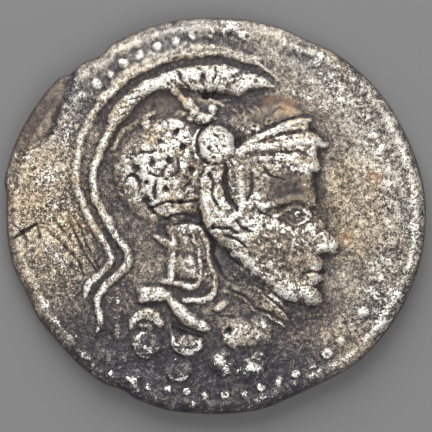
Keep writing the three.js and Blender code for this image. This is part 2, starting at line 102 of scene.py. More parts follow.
AXIS = np.arange(-REACH, REACH + PITCH / 2, PITCH)
GRID_X, GRID_Y = np.meshgrid(AXIS, AXIS)
DIE_X, DIE_Y = GRID_X / UNIT, GRID_Y / UNIT
GRID_ANGLE = np.arctan2(GRID_Y, GRID_X)
DEGREES = np.degrees(GRID_ANGLE) % 360
GRID_RADIUS = np.hypot(GRID_X, GRID_Y)
FREQUENCIES = np.meshgrid(np.fft.rfftfreq(len(AXIS), PITCH), np.fft.fftfreq(len(AXIS), PITCH))


def rise(t, low, high):
    """0 up to low, 1 from high on, and a smooth step between"""
    t = np.clip((t - low) / (high - low), 0, 1)
    return t * t * (3 - 2 * t)


def bell(t):
    return np.where(np.abs(t) < 1, (1 - t * t) ** 2, 0.0)


def full_bell(t):
    """A bell with fuller shoulders, as a worn ridge has"""
    return np.where(np.abs(t) < 1, (1 - np.abs(t) ** 2.6) ** 1.6, 0.0)


def flat_bell(t):
    return 1 - rise(np.abs(t), 0.78, 1)


def sector(angle, middle, half):
    """1 in a stretch of directions on the coin, in degrees, and 0 beyond its ends"""
    return flat_bell((angle - middle) / half)


def smooth_max(a, b, blend):
    near = np.maximum(blend - np.abs(a - b), 0) / blend
    return np.maximum(a, b) + near * near * blend / 4


def polar(radius, degrees):
    angle = math.radians(degrees)
    return radius * math.cos(angle), radius * math.sin(angle)


def oval(x, y, rx, ry, turn, where=...):
    """How far the grid's points are from the middle of an oval in die units: 1 at its edge"""
    dx, dy = DIE_X[where] - x, DIE_Y[where] - y
    cos, sin = polar(1, turn)
    return np.hypot((dx * cos + dy * sin) / rx, (dy * cos - dx * sin) / ry)


def patch(x, y, rx, ry, turn=0):
    """A soft oval patch in die units, 1 at its middle"""
    return bell(oval(x, y, rx, ry, turn))


def blurred(grid, radius):
    """A grid softened by a Gaussian of this radius in millimetres"""
    keep = np.exp(-2 * (math.pi * radius) ** 2 * (FREQUENCIES[0] ** 2 + FREQUENCIES[1] ** 2))
    return np.fft.irfft2(np.fft.rfft2(grid) * keep, s=grid.shape)


def noise(radius, seed):
    """Repeatable soft noise with a spread of 1 and features about this size in millimetres"""
    raw = np.random.default_rng(seed).standard_normal(GRID_X.shape)
    soft = blurred(raw, radius)
    return soft / soft.std()


def edge_radius(angle):
    half_width, half_height = FLAN_WIDTH / 2, FLAN_HEIGHT / 2
    radius = half_width * half_height / np.hypot(half_height * np.cos(angle), half_width * np.sin(angle))
    for at, spread, amount, flat in OUTLINE_FLAWS:
        turn = angle - math.radians(at)
        apart = np.degrees(np.arctan2(np.sin(turn), np.cos(turn))) / spread
        radius = radius + amount * (flat_bell(apart) if flat else bell(apart))
    return radius


def between(a, b, t, ta, tb):
    """What lies between a at the time ta and b at tb, at the time t"""
    return ((tb - t) * a + (t - ta) * b) / (tb - ta)


def smooth_curve(points, closed=False):
    """A centripetal Catmull-Rom curve through [x, y, half width] rows in die units, in millimetres"""
    p = np.array([list(q) + [1.0] * (3 - len(q)) for q in points], float)
    if closed:
        ends = np.vstack([p[-1], p, p[0], p[1]])
    else:
        ends = np.vstack([2 * p[0] - p[1], p, 2 * p[-1] - p[-2]])
    out = []
    for i in range(1, len(ends) - 2):
        a, b, c, d = ends[i - 1 : i + 3]
        gaps = [max(np.linalg.norm((v - u)[:2]) ** 0.5, 1e-3) for u, v in ((a, b), (b, c), (c, d))]
        t0, t1, t2, t3 = 0, gaps[0], gaps[0] + gaps[1], sum(gaps)
        steps = max(3, int(np.linalg.norm((c - b)[:2]) * UNIT / 0.12))
        for t in np.linspace(t1, t2, steps, endpoint=False):
            ab, bc, cd = between(a, b, t, t0, t1), between(b, c, t, t1, t2), between(c, d, t, t2, t3)
            abc, bcd = between(ab, bc, t, t0, t2), between(bc, cd, t, t1, t3)
            out.append(between(abc, bcd, t, t1, t2))
    out.append(ends[-2])
    return np.array(out) * UNIT


def window(x0, x1, y0, y1):
    """The part of the grid inside a box, as a pair of slices"""
    ends = [int((v + REACH) / PITCH) for v in (y0, y1, x0, x1)]
    low_y, high_y, low_x, high_x = (min(max(e, 0), len(AXIS) - 1) for e in ends)
    return slice(low_y, high_y + 2), slice(low_x, high_x + 2)


def window_round(x, y, reach):
    """The part of the grid within reach of the points x, y"""
    return window(min(x) - reach, max(x) + reach, min(y) - reach, max(y) + reach)


class Stroke:
    """For the grid near a curve: the distance from it, the half width there, the way along it and the side"""

    def __init__(self, samples):
        shape = GRID_X.shape
        reach = samples[:, 2].max()
        distance, half = np.full(shape, 99.0), np.ones(shape)
        along, side = np.zeros(shape), np.zeros(shape)
        run = 0.0
        for a, b in zip(samples[:-1], samples[1:]):
            dx, dy = (b - a)[:2]
            length = max(np.hypot(dx, dy), 1e-9)
            near = window_round((a[0], b[0]), (a[1], b[1]), reach)
            x, y = GRID_X[near] - a[0], GRID_Y[near] - a[1]
            t = np.clip((x * dx + y * dy) / length**2, 0, 1)
            d = np.hypot(x - t * dx, y - t * dy)
            better = d < distance[near]
            distance[near] = np.where(better, d, distance[near])
            half[near] = np.where(better, a[2] + t * (b[2] - a[2]), half[near])
            along[near] = np.where(better, run + t * length, along[near])
            side[near] = np.where(better, np.sign(dx * y - dy * x), side[near])
            run += length
        self.window = window_round(samples[:, 0], samples[:, 1], reach)
        self.distance = distance[self.window]
        self.half = half[self.window]
        self.t = self.distance / self.half
        self.along = along[self.window] / UNIT
        self.across = self.t * side[self.window]
        self.taper = np.minimum(self.half / (0.7 * samples[:, 2].max()), 1)


class Relief:
    """What a die strikes up from the bare field, form by form"""

    def __init__(self):
        self.lift = np.zeros_like(GRID_X)
        self.cuts = np.zeros_like(GRID_X)
        self.shine = np.zeros_like(GRID_X)

    def over(self, where, lift, blend=0.1):
        now = self.lift[where]
        mixed = smooth_max(now, lift, np.minimum(blend, np.maximum(lift, 1e-6)))
        self.lift[where] = np.where(lift > 0, mixed, now)

    def mark(self, where, cut):
        """Notes how deep the metal is cut there, whatever its height"""
        self.cuts[where] = np.maximum(self.cuts[where], cut)

    def ridge(self, points, height, locks=None, blend=0.1, profile=bell):
        """A raised line. locks is (spacing, depth, lean): it is cut across into locks that lean along it."""
        s = Stroke(smooth_curve(points))
        lift = height * profile(s.t) * s.taper
        if locks:
            spacing, depth, lean = locks
            wave = np.cos(2 * math.pi * (s.along / spacing + lean * s.across))
            lift = lift * (1 - depth * (0.5 - 0.5 * wave) ** 2)
        self.over(s.window, lift, blend)

    def groove(self, points, depth):
        s = Stroke(smooth_curve(points))
        cut = depth * bell(s.t) * s.taper
        self.lift[s.window] -= cut
        self.mark(s.window, cut)

    def line(self, points, height, shine=0.0):
        """A thin raised line on what is there. shine is how much brighter it is rubbed."""
        s = Stroke(smooth_curve(points))
        lift = bell(s.t) * s.taper
        self.lift[s.window] += height * lift
        self.shine[s.window] = np.maximum(self.shine[s.window], shine * lift)

    def mound_lift(self, x0, y0, rx, ry, turn=0.0, power=2.6):
        where = window_round((x0 * UNIT,), (y0 * UNIT,), max(rx, ry) * UNIT)
        d = oval(x0, y0, rx, ry, turn, where)
        return where, np.where(d < 1, 1 - np.minimum(d, 1) ** power, 0)

    def mound(self, x0, y0, rx, ry, height, turn=0.0, blend=0.1, power=2.6):
        where, share = self.mound_lift(x0, y0, rx, ry, turn, power)
        self.over(where, height * share, blend)

    def swell(self, x0, y0, rx, ry, height, turn=0.0):
        """A soft swelling, or with a negative height a hollow, on what is there"""
        where, share = self.mound_lift(x0, y0, rx, ry, turn, 2.0)
        self.lift[where] += height * share**2
        if height < 0 and rx < 4:
            self.mark(where, -height * share)

    def hoop(self, x0, y0, radius, half, height, start=0, end=360, shine=0.0):
        """A ring, or an arc of one from start to end in degrees"""
        arc = [polar(radius, a) for a in np.linspace(start, end, max(8, int((end - start) / 12)))]
        points = [(x0 + x, y0 + y, half) for x, y in arc]
        if height > 0:
            self.line(points, height, shine)
        else:
            self.groove(points, -height)

    def plate(self, points, height, shoulder, blend=0.1):
        samples = smooth_curve(points, closed=True)
        samples = np.vstack([samples, samples[:1]])
        samples[:, 2] = shoulder
        s = Stroke(samples)
        x, y = GRID_X[s.window], GRID_Y[s.window]
        inside = np.zeros(x.shape, bool)
        for (xa, ya), (xb, yb) in zip(samples[:-1, :2], samples[1:, :2]):
            if ya != yb:
                inside ^= ((ya > y) != (yb > y)) & (x < (xb - xa) * (y - ya) / (yb - ya) + xa)
        t = np.minimum(s.distance / shoulder, 1)
        self.over(s.window, np.where(inside, height * (1 - (1 - t) ** 2), 0), blend)


# Face: an ideal profile on the canon of thirds, in shares of the length from chin to hairline
FACE_X, FACE_Y, FACE_LENGTH = 56, -50, 86
BROW = 2 / 3
NOSE_BASE = 1 / 3
MOUTH = NOSE_BASE * (2 / 3)
EYE = BROW - 0.07

PROFILE = [(-0.07, 1.0), (-0.01, 0.86), (0.005, BROW + 0.04), (0.0, BROW - 0.05), (0.07, BROW - 0.17),
    (0.145, NOSE_BASE + 0.07), (0.12, NOSE_BASE + 0.01), (0.045, NOSE_BASE), (0.06, MOUTH + 0.05),
    (0.035, MOUTH), (0.052, MOUTH - 0.045), (0.015, MOUTH - 0.095), (0.04, 0.06), (0.0, 0.0)]
JAW = [(40, -48), (26, -39), (11, -27), (-2, -14), (-12, 8), (-5, 30), (24, 46)]
NECK = [(-2, -12), (-2, -42), (10.5, -43.5), (17, -48), (24, -54), (31.5, -58.5), (40, -60), (38, -50),
    (40, -44), (24, -28)]


def on_face(points):
    """Points in shares of the face's length, in die units, with a half width of 0.02 where none is given"""
    shares = [(*q, 0.02)[:3] for q in points]
    return [(FACE_X + x * FACE_LENGTH, FACE_Y + y * FACE_LENGTH, half * FACE_LENGTH) for x, y, half in shares]


def carve_face(die):
    die.plate(NECK, NECK_RELIEF, 0.8)
    die.plate([q[:2] for q in on_face(PROFILE)] + JAW, FACE_RELIEF, 0.9)
    for forward, up, half_width, half_height, height, turn in [
        # cheek, socket, eyeball, side of the nose, lips, corner of the mouth, chin
        (-0.32, 0.42, 0.3, 0.26, 0.26, 0),
        (-0.14, EYE - 0.01, 0.19, 0.1, -0.36, -8),
        (-0.125, EYE - 0.008, 0.1, 0.055, 0.34, -8),
        (0.035, NOSE_BASE + 0.04, 0.06, 0.048, 0.24, 0),
        (0.0, MOUTH + 0.036, 0.085, 0.036, 0.16, 0),
        (-0.005, MOUTH - 0.04, 0.075, 0.038, 0.16, 0),
        (-0.09, MOUTH - 0.005, 0.03, 0.035, -0.12, 0),
        (-0.05, 0.085, 0.13, 0.11, 0.16, 0),
    ]:
        x, y, rx = on_face([(forward, up, half_width)])[0]
        die.swell(x, y, rx, half_height * FACE_LENGTH, height, turn)
    for height, shine, *points in [
        # brow, upper lid, lower lid, bridge of the nose, edges of the lips
        (0.18, 0.3, (0.0, BROW - 0.02, 0.028), (-0.14, BROW + 0.035, 0.038), (-0.34, BROW - 0.03, 0.026)),
        (0.2, 0.6, (-0.035, EYE - 0.01, 0.014), (-0.11, EYE + 0.045, 0.02), (-0.17, EYE + 0.035, 0.02),
         (-0.25, EYE - 0.015, 0.014)),
        (0.14, 0.45, (-0.045, EYE - 0.03, 0.013), (-0.12, EYE - 0.062, 0.016), (-0.22, EYE - 0.02, 0.013)),
        (0.16, 0, (0.0, BROW - 0.07, 0.04), (0.07, BROW - 0.2, 0.05), (0.1, NOSE_BASE + 0.08, 0.05)),
        (0.04, 0.35, (0.04, MOUTH + 0.034, 0.012), (-0.05, MOUTH + 0.02, 0.01)),
        (0.04, 0.35, (0.035, MOUTH - 0.036, 0.012), (-0.045, MOUTH - 0.03, 0.01)),
    ]:
        die.line(on_face(points), height, shine)
    for depth, *points in [
        # crease over the lid, nostril, side of the nose, mouth, hollow under the lip
        (0.12, (-0.04, EYE + 0.035, 0.01), (-0.12, EYE + 0.084, 0.014), (-0.26, EYE + 0.03, 0.01)),
        (0.16, (0.075, NOSE_BASE + 0.012, 0.01), (0.035, NOSE_BASE + 0.012, 0.014)),
        (0.1, (-0.005, NOSE_BASE + 0.085, 0.012), (-0.025, NOSE_BASE + 0.03, 0.016)),
        (0.22, (0.055, MOUTH + 0.002, 0.014), (0.0, MOUTH, 0.015), (-0.075, MOUTH - 0.004, 0.009)),
        (0.1, (0.03, MOUTH - 0.095, 0.02), (-0.06, MOUTH - 0.1, 0.02)),
    ]:
        die.groove(on_face(points), depth)
    die.hoop(*on_face([(-0.105, EYE - 0.008)])[0][:2], 1.9, 1, 0.08, shine=0.3)


def carve_throat(die):
    """Folds of the throat, and the two lines of the necklace"""
    for height, shine, *points in [
        (0.12, 0, (24, -41, 1.2), (33, -46.5, 1.6), (39, -54, 1.2)),
        (0.22, 0.4, (4, -41.6, 0.6), (10.5, -43, 0.9), (17, -47.6, 0.9), (24, -53.8, 0.9), (38, -60.6, 0.7)),
        (0.2, 0.3, (19, -38.4, 0.6), (26, -43.6, 0.9), (33, -51, 0.9), (40, -57.6, 0.6)),
        (0.12, 0, (9, -26, 0.9), (17, -31, 1.1), (25, -37, 1.1), (33, -45, 1.1), (39, -52, 0.9)),
    ]:
        die.line(points, height, shine)
    for depth, *points in [
        (0.2, (6, -39.6, 0.6), (11, -41.4, 0.9), (18, -46, 0.9), (25, -52.2, 0.9), (38, -58.6, 0.6)),
        (0.18, (20, -37.4, 0.6), (27, -42.6, 0.8), (34, -50, 0.8), (41, -56.5, 0.6)),
    ]:
        die.groove(points, depth)


BRUSH = [(-60.5, 50), (-56, 60), (-50, 66.7), (-44.4, 71.1), (-36, 75.6), (-27.8, 78.9), (-19.4, 81.7),
    (-8.3, 83.2), (0, 82.8), (11, 81.7), (19.4, 79), (26, 76), (30.6, 72.8), (32.4, 70.6), (27.8, 69),
    (19.4, 67.4), (12.2, 65.2), (5.6, 66.6), (-1.7, 68.4), (-8.3, 67.8), (-16.7, 68.8), (-24, 69),
    (-30.6, 67.6), (-36, 66), (-40.6, 62), (-48.3, 54), (-54, 47.5), (-58.5, 41.5)]


def comb_brush(die):
    """Locks cut into the brush: fanned above the stand, and swept along the band behind it"""
    rng = np.random.default_rng(12)
    where = window(-64 * UNIT, 34 * UNIT, 40 * UNIT, 85 * UNIT)
    x, y = DIE_X[where], DIE_Y[where]
    turn = np.degrees(np.arctan2(y - 55, x + 5.5)) + 0.9 * np.sin(y * 0.9) + 0.9 * np.sin(x * 0.7)
    knots = np.linspace(-20, 200, 84)
    cuts = np.interp(turn, knots, rng.uniform(0, 1, len(knots)))
    broken = rise(noise(0.28, 13)[where], -1.2, 0.6)
    on = rise(die.lift[where], 0.3, 0.6) * rise(x, -50, -32)
    fan = rise(cuts, 0.52, 0.9) * broken * on
    die.lift[where] -= 0.36 * fan
    die.mark(where, 0.1 * fan)
    wander = 0.5 * np.sin(x * 0.16) + 0.16 * noise(0.5, 14)[where]
    sweep = np.sin(2 * math.pi * ((y * 0.88 - x * 0.3) / 3.1 + wander))
    behind = rise(die.lift[where], 0.3, 0.6) * (1 - rise(x, -40, -26)) * rise(y, 40, 48)
    nick = rise(sweep, 0.45, 0.95) * broken * behind
    die.lift[where] -= 0.26 * nick
    die.mark(where, 0.24 * nick)
    die.groove([(-6.5, 81, 0.7), (-6.2, 76, 1.2), (-5.8, 70, 1.8), (-6, 66, 2.2)], 0.26)
    die.groove([(-13, 76, 0.6), (-10.5, 71.5, 0.9), (-8.5, 67.5, 1)], 0.16)
    die.swell(0, 67.5, 13, 3.6, -0.3, 6)
    die.groove([(2, 76, 0.5), (0, 71, 0.8), (-2.5, 67.5, 0.9)], 0.24)
    die.swell(5.5, 71.5, 6, 4.2, -0.22)


def carve_crest(die):
    """The long crest: its brush of hair fans out over the stand and sweeps back into two ridges."""
    die.plate([(-6, 48), (20, 60), (42, 62), (50, 52), (24, 44), (4, 34)], 0.34, 0.8)
    die.plate([(x * 1.01, y * 1.012) for x, y in BRUSH], CREST_RELIEF, 0.5)
    comb_brush(die)
    die.ridge([(-58, 50, 3), (-62, 41, 3.4), (-67, 26, 3.2), (-67.5, 14, 3.3), (-62.5, 4, 3.2),
        (-55.5, -9, 3.1), (-50, -19, 3.2), (-48.5, -25.5, 3.5), (-53.5, -32, 3.2), (-61, -40, 3),
        (-65, -45, 3), (-64, -53.5, 2.6), (-63.5, -59.5, 2.4), (-67, -66, 1.6)], CREST_RELIEF * 0.86)
    die.ridge([(33.5, 77, 1.2), (24, 83.5, 1.6), (14, 87.5, 2.2), (-8.5, 89.5, 2.6), (-30.5, 86, 2.8),
        (-50, 75.5, 3), (-64.5, 61.5, 3), (-74, 43.5, 3), (-77, 20, 3.2), (-72, 4, 3.2), (-61.5, -15, 3),
        (-58, -24, 3), (-62, -31, 3), (-70.5, -39, 2.8), (-72, -45, 1.5)], OUTER_RIDGE_RELIEF * 1.1)
    die.ridge([(24, 86, 2), (14, 90, 3.4), (-8.5, 92.5, 4.2), (-30.5, 89, 4.4), (-50, 78.5, 4.2),
        (-64.5, 64.5, 3.6)], OUTER_RIDGE_RELIEF * 0.75)
    die.ridge([(-34.5, 56.5, 1.8), (-44.5, 51, 2.8), (-51.5, 45.5, 2.8), (-56.5, 37, 1.8)], 0.3)
    for x, y, rx, ry, lift in [
        (-22.5, 69, 3.8, 3.4, 0.5), (-20, 65.5, 3.2, 3.4, 0.42), (-16, 62, 5.4, 3.6, 0.6),
        (-12.5, 57.5, 3.8, 4, 0.5), (-14, 53.5, 3, 2.4, 0.4), (-8.5, 53, 4.4, 4, 0.6),
    ]:
        die.mound(x, y, rx, ry, lift, -20)
    die.mound(-1.6, 58.5, 3, 4, 0.62, 10)
    die.mound(-5, 52.5, 6.6, 3.2, 0.66, 6)
    die.mound(-20, 56, 5, 2, 0.3, 12)
    die.ridge([(-4, 64.8, 1.1), (0, 63.5, 1.5), (4, 61.5, 1.1)], 0.4)


def carve_bowl(die):
    """The bowl of the helmet, with the worn ornament on it"""
    die.mound(-27, 24.5, 31, 29.5, BOWL_RELIEF)
    die.mound(-24.5, 50, 8.5, 4.2, 0.75, 8)
    die.mound(-38.5, 50, 3, 4, 0.55, 30)
    for x, y, r in [
        (-38.9, 8.6, 2.6), (-27.7, 15, 2.2), (-34.7, 29.5, 2.6), (-43.6, 26, 2.4), (-26.2, 30.7, 2.4),
        (-38.1, 18.4, 2), (-18, 38, 2), (-14, 26, 2), (-20, 8, 1.8), (-31, 41, 2), (-22, 46, 1.6),
    ]:
        die.swell(x, y, r * 1.25, r * 1.25, -0.3)
    for depth, *points in [
        (0.26, (-49.6, 20, 1), (-46.6, 22.7, 1.9), (-41.9, 19.7, 1.9), (-41.5, 14, 1)),
        (0.24, (-32.1, 20.5, 1), (-33.8, 15, 1.5), (-33.4, 9, 1)),
        (0.24, (-29, 28, 1), (-31.3, 22.5, 1.7), (-36, 23.5, 1.2)),
        (0.2, (-42.5, 35, 1), (-37, 34.6, 1.7), (-33, 36.5, 1)),
        (0.2, (-26, 22, 1), (-21, 25.5, 1.5), (-21, 32, 1)),
        (0.2, (-18, 14, 1), (-15, 18.5, 1.5), (-18, 22.5, 1)),
        (0.3, (-36, 4, 0.8), (-31, 6.3, 1), (-26.5, 7.8, 1.1), (-22, 7.4, 1.1), (-10, 9, 0.9)),
        (0.2, (-38, 6, 0.8), (-33.5, 2, 1.3), (-28.5, -1, 0.9)),
        (0.22, (-29, -1.5, 0.9), (-24.5, 1, 1.2), (-18, 1.5, 1), (-12, 0, 0.9)),
    ]:
        die.groove(points, depth)
    die.line([(-35, 5.5, 0.8), (-26.5, 10, 1.2), (-10, 11, 0.8)], 0.1)


def carve_visor(die):
    """Two ribs with a sunk channel between them, and the band turned down over the hair"""
    die.plate([(12.5, 35), (22, 44), (38, 51), (51, 53.5), (53, 48), (60, 42.5), (57, 36), (56, 26),
        (42, 28), (26, 28), (13, 28.5)], VISOR_RELIEF * 0.72, 0.45)
    die.ridge([(13, 35.5, 2.2), (20, 41, 3), (27, 45.5, 3.2), (38, 50, 3), (52, 53, 1.6)],
        VISOR_RELIEF * 0.94, profile=full_bell)
    die.ridge([(13, 33.5, 2.8), (19.5, 36.5, 3.8), (30.5, 39, 4.4), (41.5, 40, 4.2), (51.5, 41, 3.4),
        (61.5, 39.5, 1.6)], VISOR_RELIEF, profile=full_bell)
    die.ridge([(15, 30, 2.6), (26, 32, 3.8), (41.5, 31, 4.4), (55, 27, 3)], VISOR_RELIEF * 0.9,
        profile=full_bell)
    die.groove([(24, 42, 0.8), (34, 44.8, 1.6), (44, 46.5, 2.6), (54, 47, 2.4)], 0.22)
    die.groove([(30, 35, 0.7), (38, 35.4, 1), (48, 34.4, 1.2), (58, 33.5, 1)], 0.12)
    die.groove([(9, 35.5, 0.6), (20, 44, 0.9), (32, 50, 1), (44, 54.6, 0.9), (52, 56, 0.6)], 0.12)
    for x, y in [(20.6, 49.6), (17.4, 44.6), (28.6, 52.6), (23.5, 46.8)]:
        die.hoop(x, y, 1.5, 1.1, 0.2)
    for x, y, dx, dy in [(9, 59, 3, -3.4), (13, 60.5, 1.6, -4.4), (16.5, 59, 3.4, -2.8), (20, 60.5, 2.6, -2)]:
        die.line([(x, y, 0.8), (x + dx / 2 + 0.8, y + dy / 2, 1), (x + dx, y + dy, 0.8)], 0.2)
    die.groove([(30, 57.5, 0.8), (34, 60, 1), (38, 58.5, 0.8)], 0.14)


def carve_boss(die):
    """The round boss over the ear, in its ring"""
    die.mound(0.3, 38.8, 11.2, 11.6, DISC_RELIEF, power=8)
    die.hoop(0.3, 38.8, 11.1, 0.8, -0.1)
    die.hoop(0.3, 38.8, 12.4, 1.1, 0.2, 105, 265, shine=0.5)
    die.swell(12.5, 41, 3.6, 4.6, -0.24, 20)
    for x, y, r in [
        (0, 43, 2), (4.5, 38, 2.2), (-4, 37, 1.7), (4, 44, 1.5),
        (-2, 32, 1.7), (0.5, 38, 1.5), (5, 32.5, 1.6), (-5, 41.5, 1.5),
    ]:
        die.swell(x, y, r, r * 0.85, -0.2)


def carve_cheek_piece(die):
    """The cheek-piece's edge, the ear below it and the locks on the temple"""
    die.ridge([(-1.5, 30, 3.4), (-6, 21, 4.6), (-6.5, 11.5, 4.8), (-5.5, 3.5, 4.4), (-4.5, -5, 3)],
        BOWL_RELIEF, locks=(6, 0.16, 0.4), profile=full_bell)
    die.ridge([(-4.5, 11, 2), (0, 4.5, 3), (4, -1.5, 3), (10, -6, 2)], BOWL_RELIEF * 0.97)
    die.mound(13, 17.5, 4.6, 9, BOWL_RELIEF * 1.04, 6)
    for depth, *points in [
        (0.3, (6, 28, 1.2), (5, 20, 2.6), (6.5, 11, 2.8), (12, 4, 1.6)),
        (0.2, (-3.5, 24, 0.8), (-1, 17, 1.3), (-2, 11, 1.2), (1, 6, 0.9)),
        (0.2, (19, 24, 0.9), (20.5, 16, 1.6), (17, 8, 1)),
        (0.2, (22, 6, 0.8), (26, 1, 1.3), (32, -1, 0.8)),
        (0.2, (10, -2, 0.8), (15, -7, 1.3), (22, -9, 0.8)),
        (0.2, (26, 28, 0.8), (30, 22, 1.1), (38, 20, 0.8)),
    ]:
        die.groove(points, depth)
    die.swell(13, 24.5, 4.2, 6, 0.3)
    die.swell(14, 15, 5, 5.4, 0.26)
    die.swell(22, 24, 4.4, 3.4, 0.2, 20)


def carve_helmet(die):
    carve_crest(die)
    carve_bowl(die)
    carve_visor(die)
    carve_boss(die)
    carve_cheek_piece(die)


def carve_guard(die):
    die.plate([(-27, -4), (-24, -32), (-12, -37), (-3, -42), (0, -30), (-8, -4)], GUARD_RELIEF / 2, 0.5)
    die.ridge([(-34, -11, 1.2), (-29, -13.5, 2.8), (-24.5, -18, 3)], GUARD_RELIEF)
    die.ridge([(-27, -6, 1.6), (-24, -13.5, 3), (-23.5, -24.5, 3.2), (-25, -34, 2.6)], GUARD_RELIEF)
    die.ridge([(-29, -35, 2.2), (-19.5, -37, 2.4), (-14, -39, 2.3), (-10, -36.5, 2.2), (-9, -31, 2),
        (-10, -23.5, 1.9), (-11.5, -15.5, 1.9), (-14, -6.5, 1.6)], GUARD_RELIEF)
    die.ridge([(-9, -7, 1.8), (-6, -13.5, 2.2), (-5, -20.5, 2.2), (-3, -28, 2.6), (-1, -34.5, 2.8),
        (-1.5, -40, 2.6), (-4, -44.5, 2.2), (-9, -46.5, 2.2), (-18, -45.5, 1.8)], GUARD_RELIEF)
    for points in [
        [(-24, -4.5, 0.9), (-17, -3.2, 1.3), (-11, -4, 1.3), (-5, -5.5, 1.3), (4, -6, 1.2), (10, -8.5, 0.9)],
        [(-7.5, -6, 0.8), (-3, -12, 1.3), (-1, -22, 1.4), (3, -32, 0.9)],
        [(4, -16, 0.8), (7.5, -22, 1.2), (12, -27, 0.8)],
        [(3, -9.5, 0.9), (9.5, -12, 1.4), (16.5, -17, 0.9)],
    ]:
        die.groove(points, 0.26)
    die.swell(-19, -12, 3, 5, 0.12)
    die.swell(-17, -26, 4, 4.5, 0.14)


def curl(die, x, y, radius, height, opening):
    """A worn lock that turns in on itself: a round mound with a hollow towards its opening"""
    die.mound(x, y, radius, radius * 0.92, height, blend=0.04)
    aside, ahead = polar(0.3 * radius, opening)
    die.swell(x + aside, y + ahead, radius * 0.86, radius * 0.74, -height * 0.62, opening)
    die.hoop(x, y, radius * 0.8, 1.1, height * 0.2, opening + 60, opening + 300)
    die.swell(x - 0.1 * radius, y - 0.15 * radius, radius * 0.3, radius * 0.22, height * 0.34)


def carve_hair(die):
    high = HAIR_RELIEF
    die.plate([(-43.5, -38.5), (-35, -38), (-27.8, -39), (-25.5, -43), (-28, -47), (-36, -47.5),
        (-43.5, -47.5), (-44.5, -43)], high, 0.4, blend=0.05)
    die.mound(-26.5, -43.5, 3.4, 3, high * 0.9)
    die.ridge([(-27, -43.5, 2.6), (-20, -51.5, 4.8), (-15, -56.5, 4.9), (-8, -60.5, 4.2), (-4, -61.5, 2)],
        high * 1.25, blend=0.05, profile=full_bell)
    die.ridge([(-46, -62.5, 2.4), (-44.5, -57, 3.6), (-40, -54, 4.4), (-35, -54.5, 4.6),
        (-31, -58.5, 3.2)], high * 1.1, blend=0.05, profile=full_bell)
    die.mound(-38.5, -61, 4.4, 3, high * 0.8)
    curl(die, -38.5, -71, 8.6, high * 1.1, 50)
    die.mound(-16, -70, 9.6, 5.6, high * 1.05, 8, blend=0.05)
    die.ridge([(-25, -64, 1.6), (-23, -71, 2.8), (-16, -75, 3.4), (-9.5, -72, 3)], high * 1.15,
        blend=0.05)
    die.groove([(-24, -60.5, 1.2), (-17, -65, 1.8), (-8, -66.5, 1.4)], 0.3)
    curl(die, -20.5, -85, 7.8, high * 0.7, 45)
    die.mound(14.5, -65.5, 12.5, 10, high, -18, blend=0.05)
    die.mound(23, -64, 8.4, 10, high * 0.95, -18, blend=0.05)
    die.swell(7.5, -62.3, 2.6, 2.4, -0.4)
    die.hoop(7.5, -62.3, 3.4, 1, 0.14)
    die.groove([(18, -58, 0.9), (24, -63, 1.2), (24, -70, 0.9)], 0.1)
    die.swell(14, -72, 6, 2.6, -0.2, -15)
    die.hoop(-37.5, -71.5, 7.4, 1, 0.14, 100, 340, shine=0.5)
    die.hoop(-16.5, -69, 7.8, 1.1, 0.14, 165, 350, shine=0.5)
    die.hoop(-20.8, -85.2, 6, 1.5, 0.2, 110, 330, shine=0.42)
    die.line([(-46.5, -68, 0.7), (-46.6, -63, 0.9), (-45.8, -59, 0.9)], 0.14, shine=0.5)
    die.line([(-36, -68.5, 0.7), (-33.5, -71, 0.9), (-34, -75, 0.7)], 0.1, shine=0.4)
    die.line([(-20, -69, 0.7), (-16, -72, 1), (-11.5, -70, 0.7)], 0.1, shine=0.4)
    # Bumps and a hollow where the edge was pressed, at the lower left
    die.swell(-64, -83, 5.5, 5, -0.16)
    die.hoop(-64, -83, 6, 1, 0.12, 200, 380, shine=0.5)
    die.mound(-71.5, -78, 3.6, 2.4, 0.18, -30)
    die.mound(-80, -68, 4, 2.2, 0.14, -50)
    die.mound(3.5, -81.5, 9.6, 8, high * 1.1, -30, blend=0.05)
    die.swell(6, -78, 3.4, 2.6, -0.3)
    die.mound(18.5, -84, 9.2, 7.6, high * 1.1, 20, blend=0.05)
    die.swell(15, -82, 3, 2.4, -0.26)
    die.mound(22, -77, 5.4, 4.4, high * 0.9, blend=0.05)
    die.mound(-54.5, -64.5, 2.8, 5.2, high * 0.6)
    die.mound(2, -49.5, 5, 3, high * 0.75, 25)
    die.groove([(-45, -48.5, 0.9), (-36, -48.8, 1.6), (-28, -49, 1.2), (-24, -54, 0.9)], 0.12)
    die.groove([(-24, -59, 1), (-15, -62.5, 1.8), (-5, -65.5, 1)], 0.14)
    die.groove([(-2, -52, 0.8), (4, -55, 1.2), (10, -55.5, 0.8)], 0.12)


def carve_beads(die, rng):
    """The ring of beads: clear at the upper left and the bottom, and worn away at the left"""
    for i in range(BEAD_COUNT):
        angle = 360 * i / BEAD_COUNT + BEAD_PHASE
        worn = rise(abs(angle - 190), 32, 62)
        upper = sector(angle, CLEAR_BEADS, 24)
        clear = upper + sector(angle, 287, 46)
        loose = 0.13 - 0.1 * clear
        cos, sin = polar(1, angle)
        ring = DIE_RADIUS - 0.55 * upper + 0.16 * sector(angle, 262, 26)
        x = (BEAD_RING_X + (ring + rng.normal(0, loose)) * cos) / UNIT
        y = (BEAD_RING_Y + (ring + rng.normal(0, loose)) * sin) / UNIT
        size = BEAD_RADIUS / UNIT * rng.uniform(0.85, 1.25)
        height = BEAD_HEIGHT * worn * (0.62 + 0.45 * clear + 0.3 * upper) * rng.uniform(0.8, 1.1)
        stretch = 1 + (1 - clear) * rng.uniform(0, 0.7)
        die.mound(x, y, size * stretch, size, height, rng.uniform(0, 180))
        if rng.random() < 0.35 - 0.3 * upper:
            die.swell(x, y, size * 0.5, size * 0.5, -0.14 * worn)


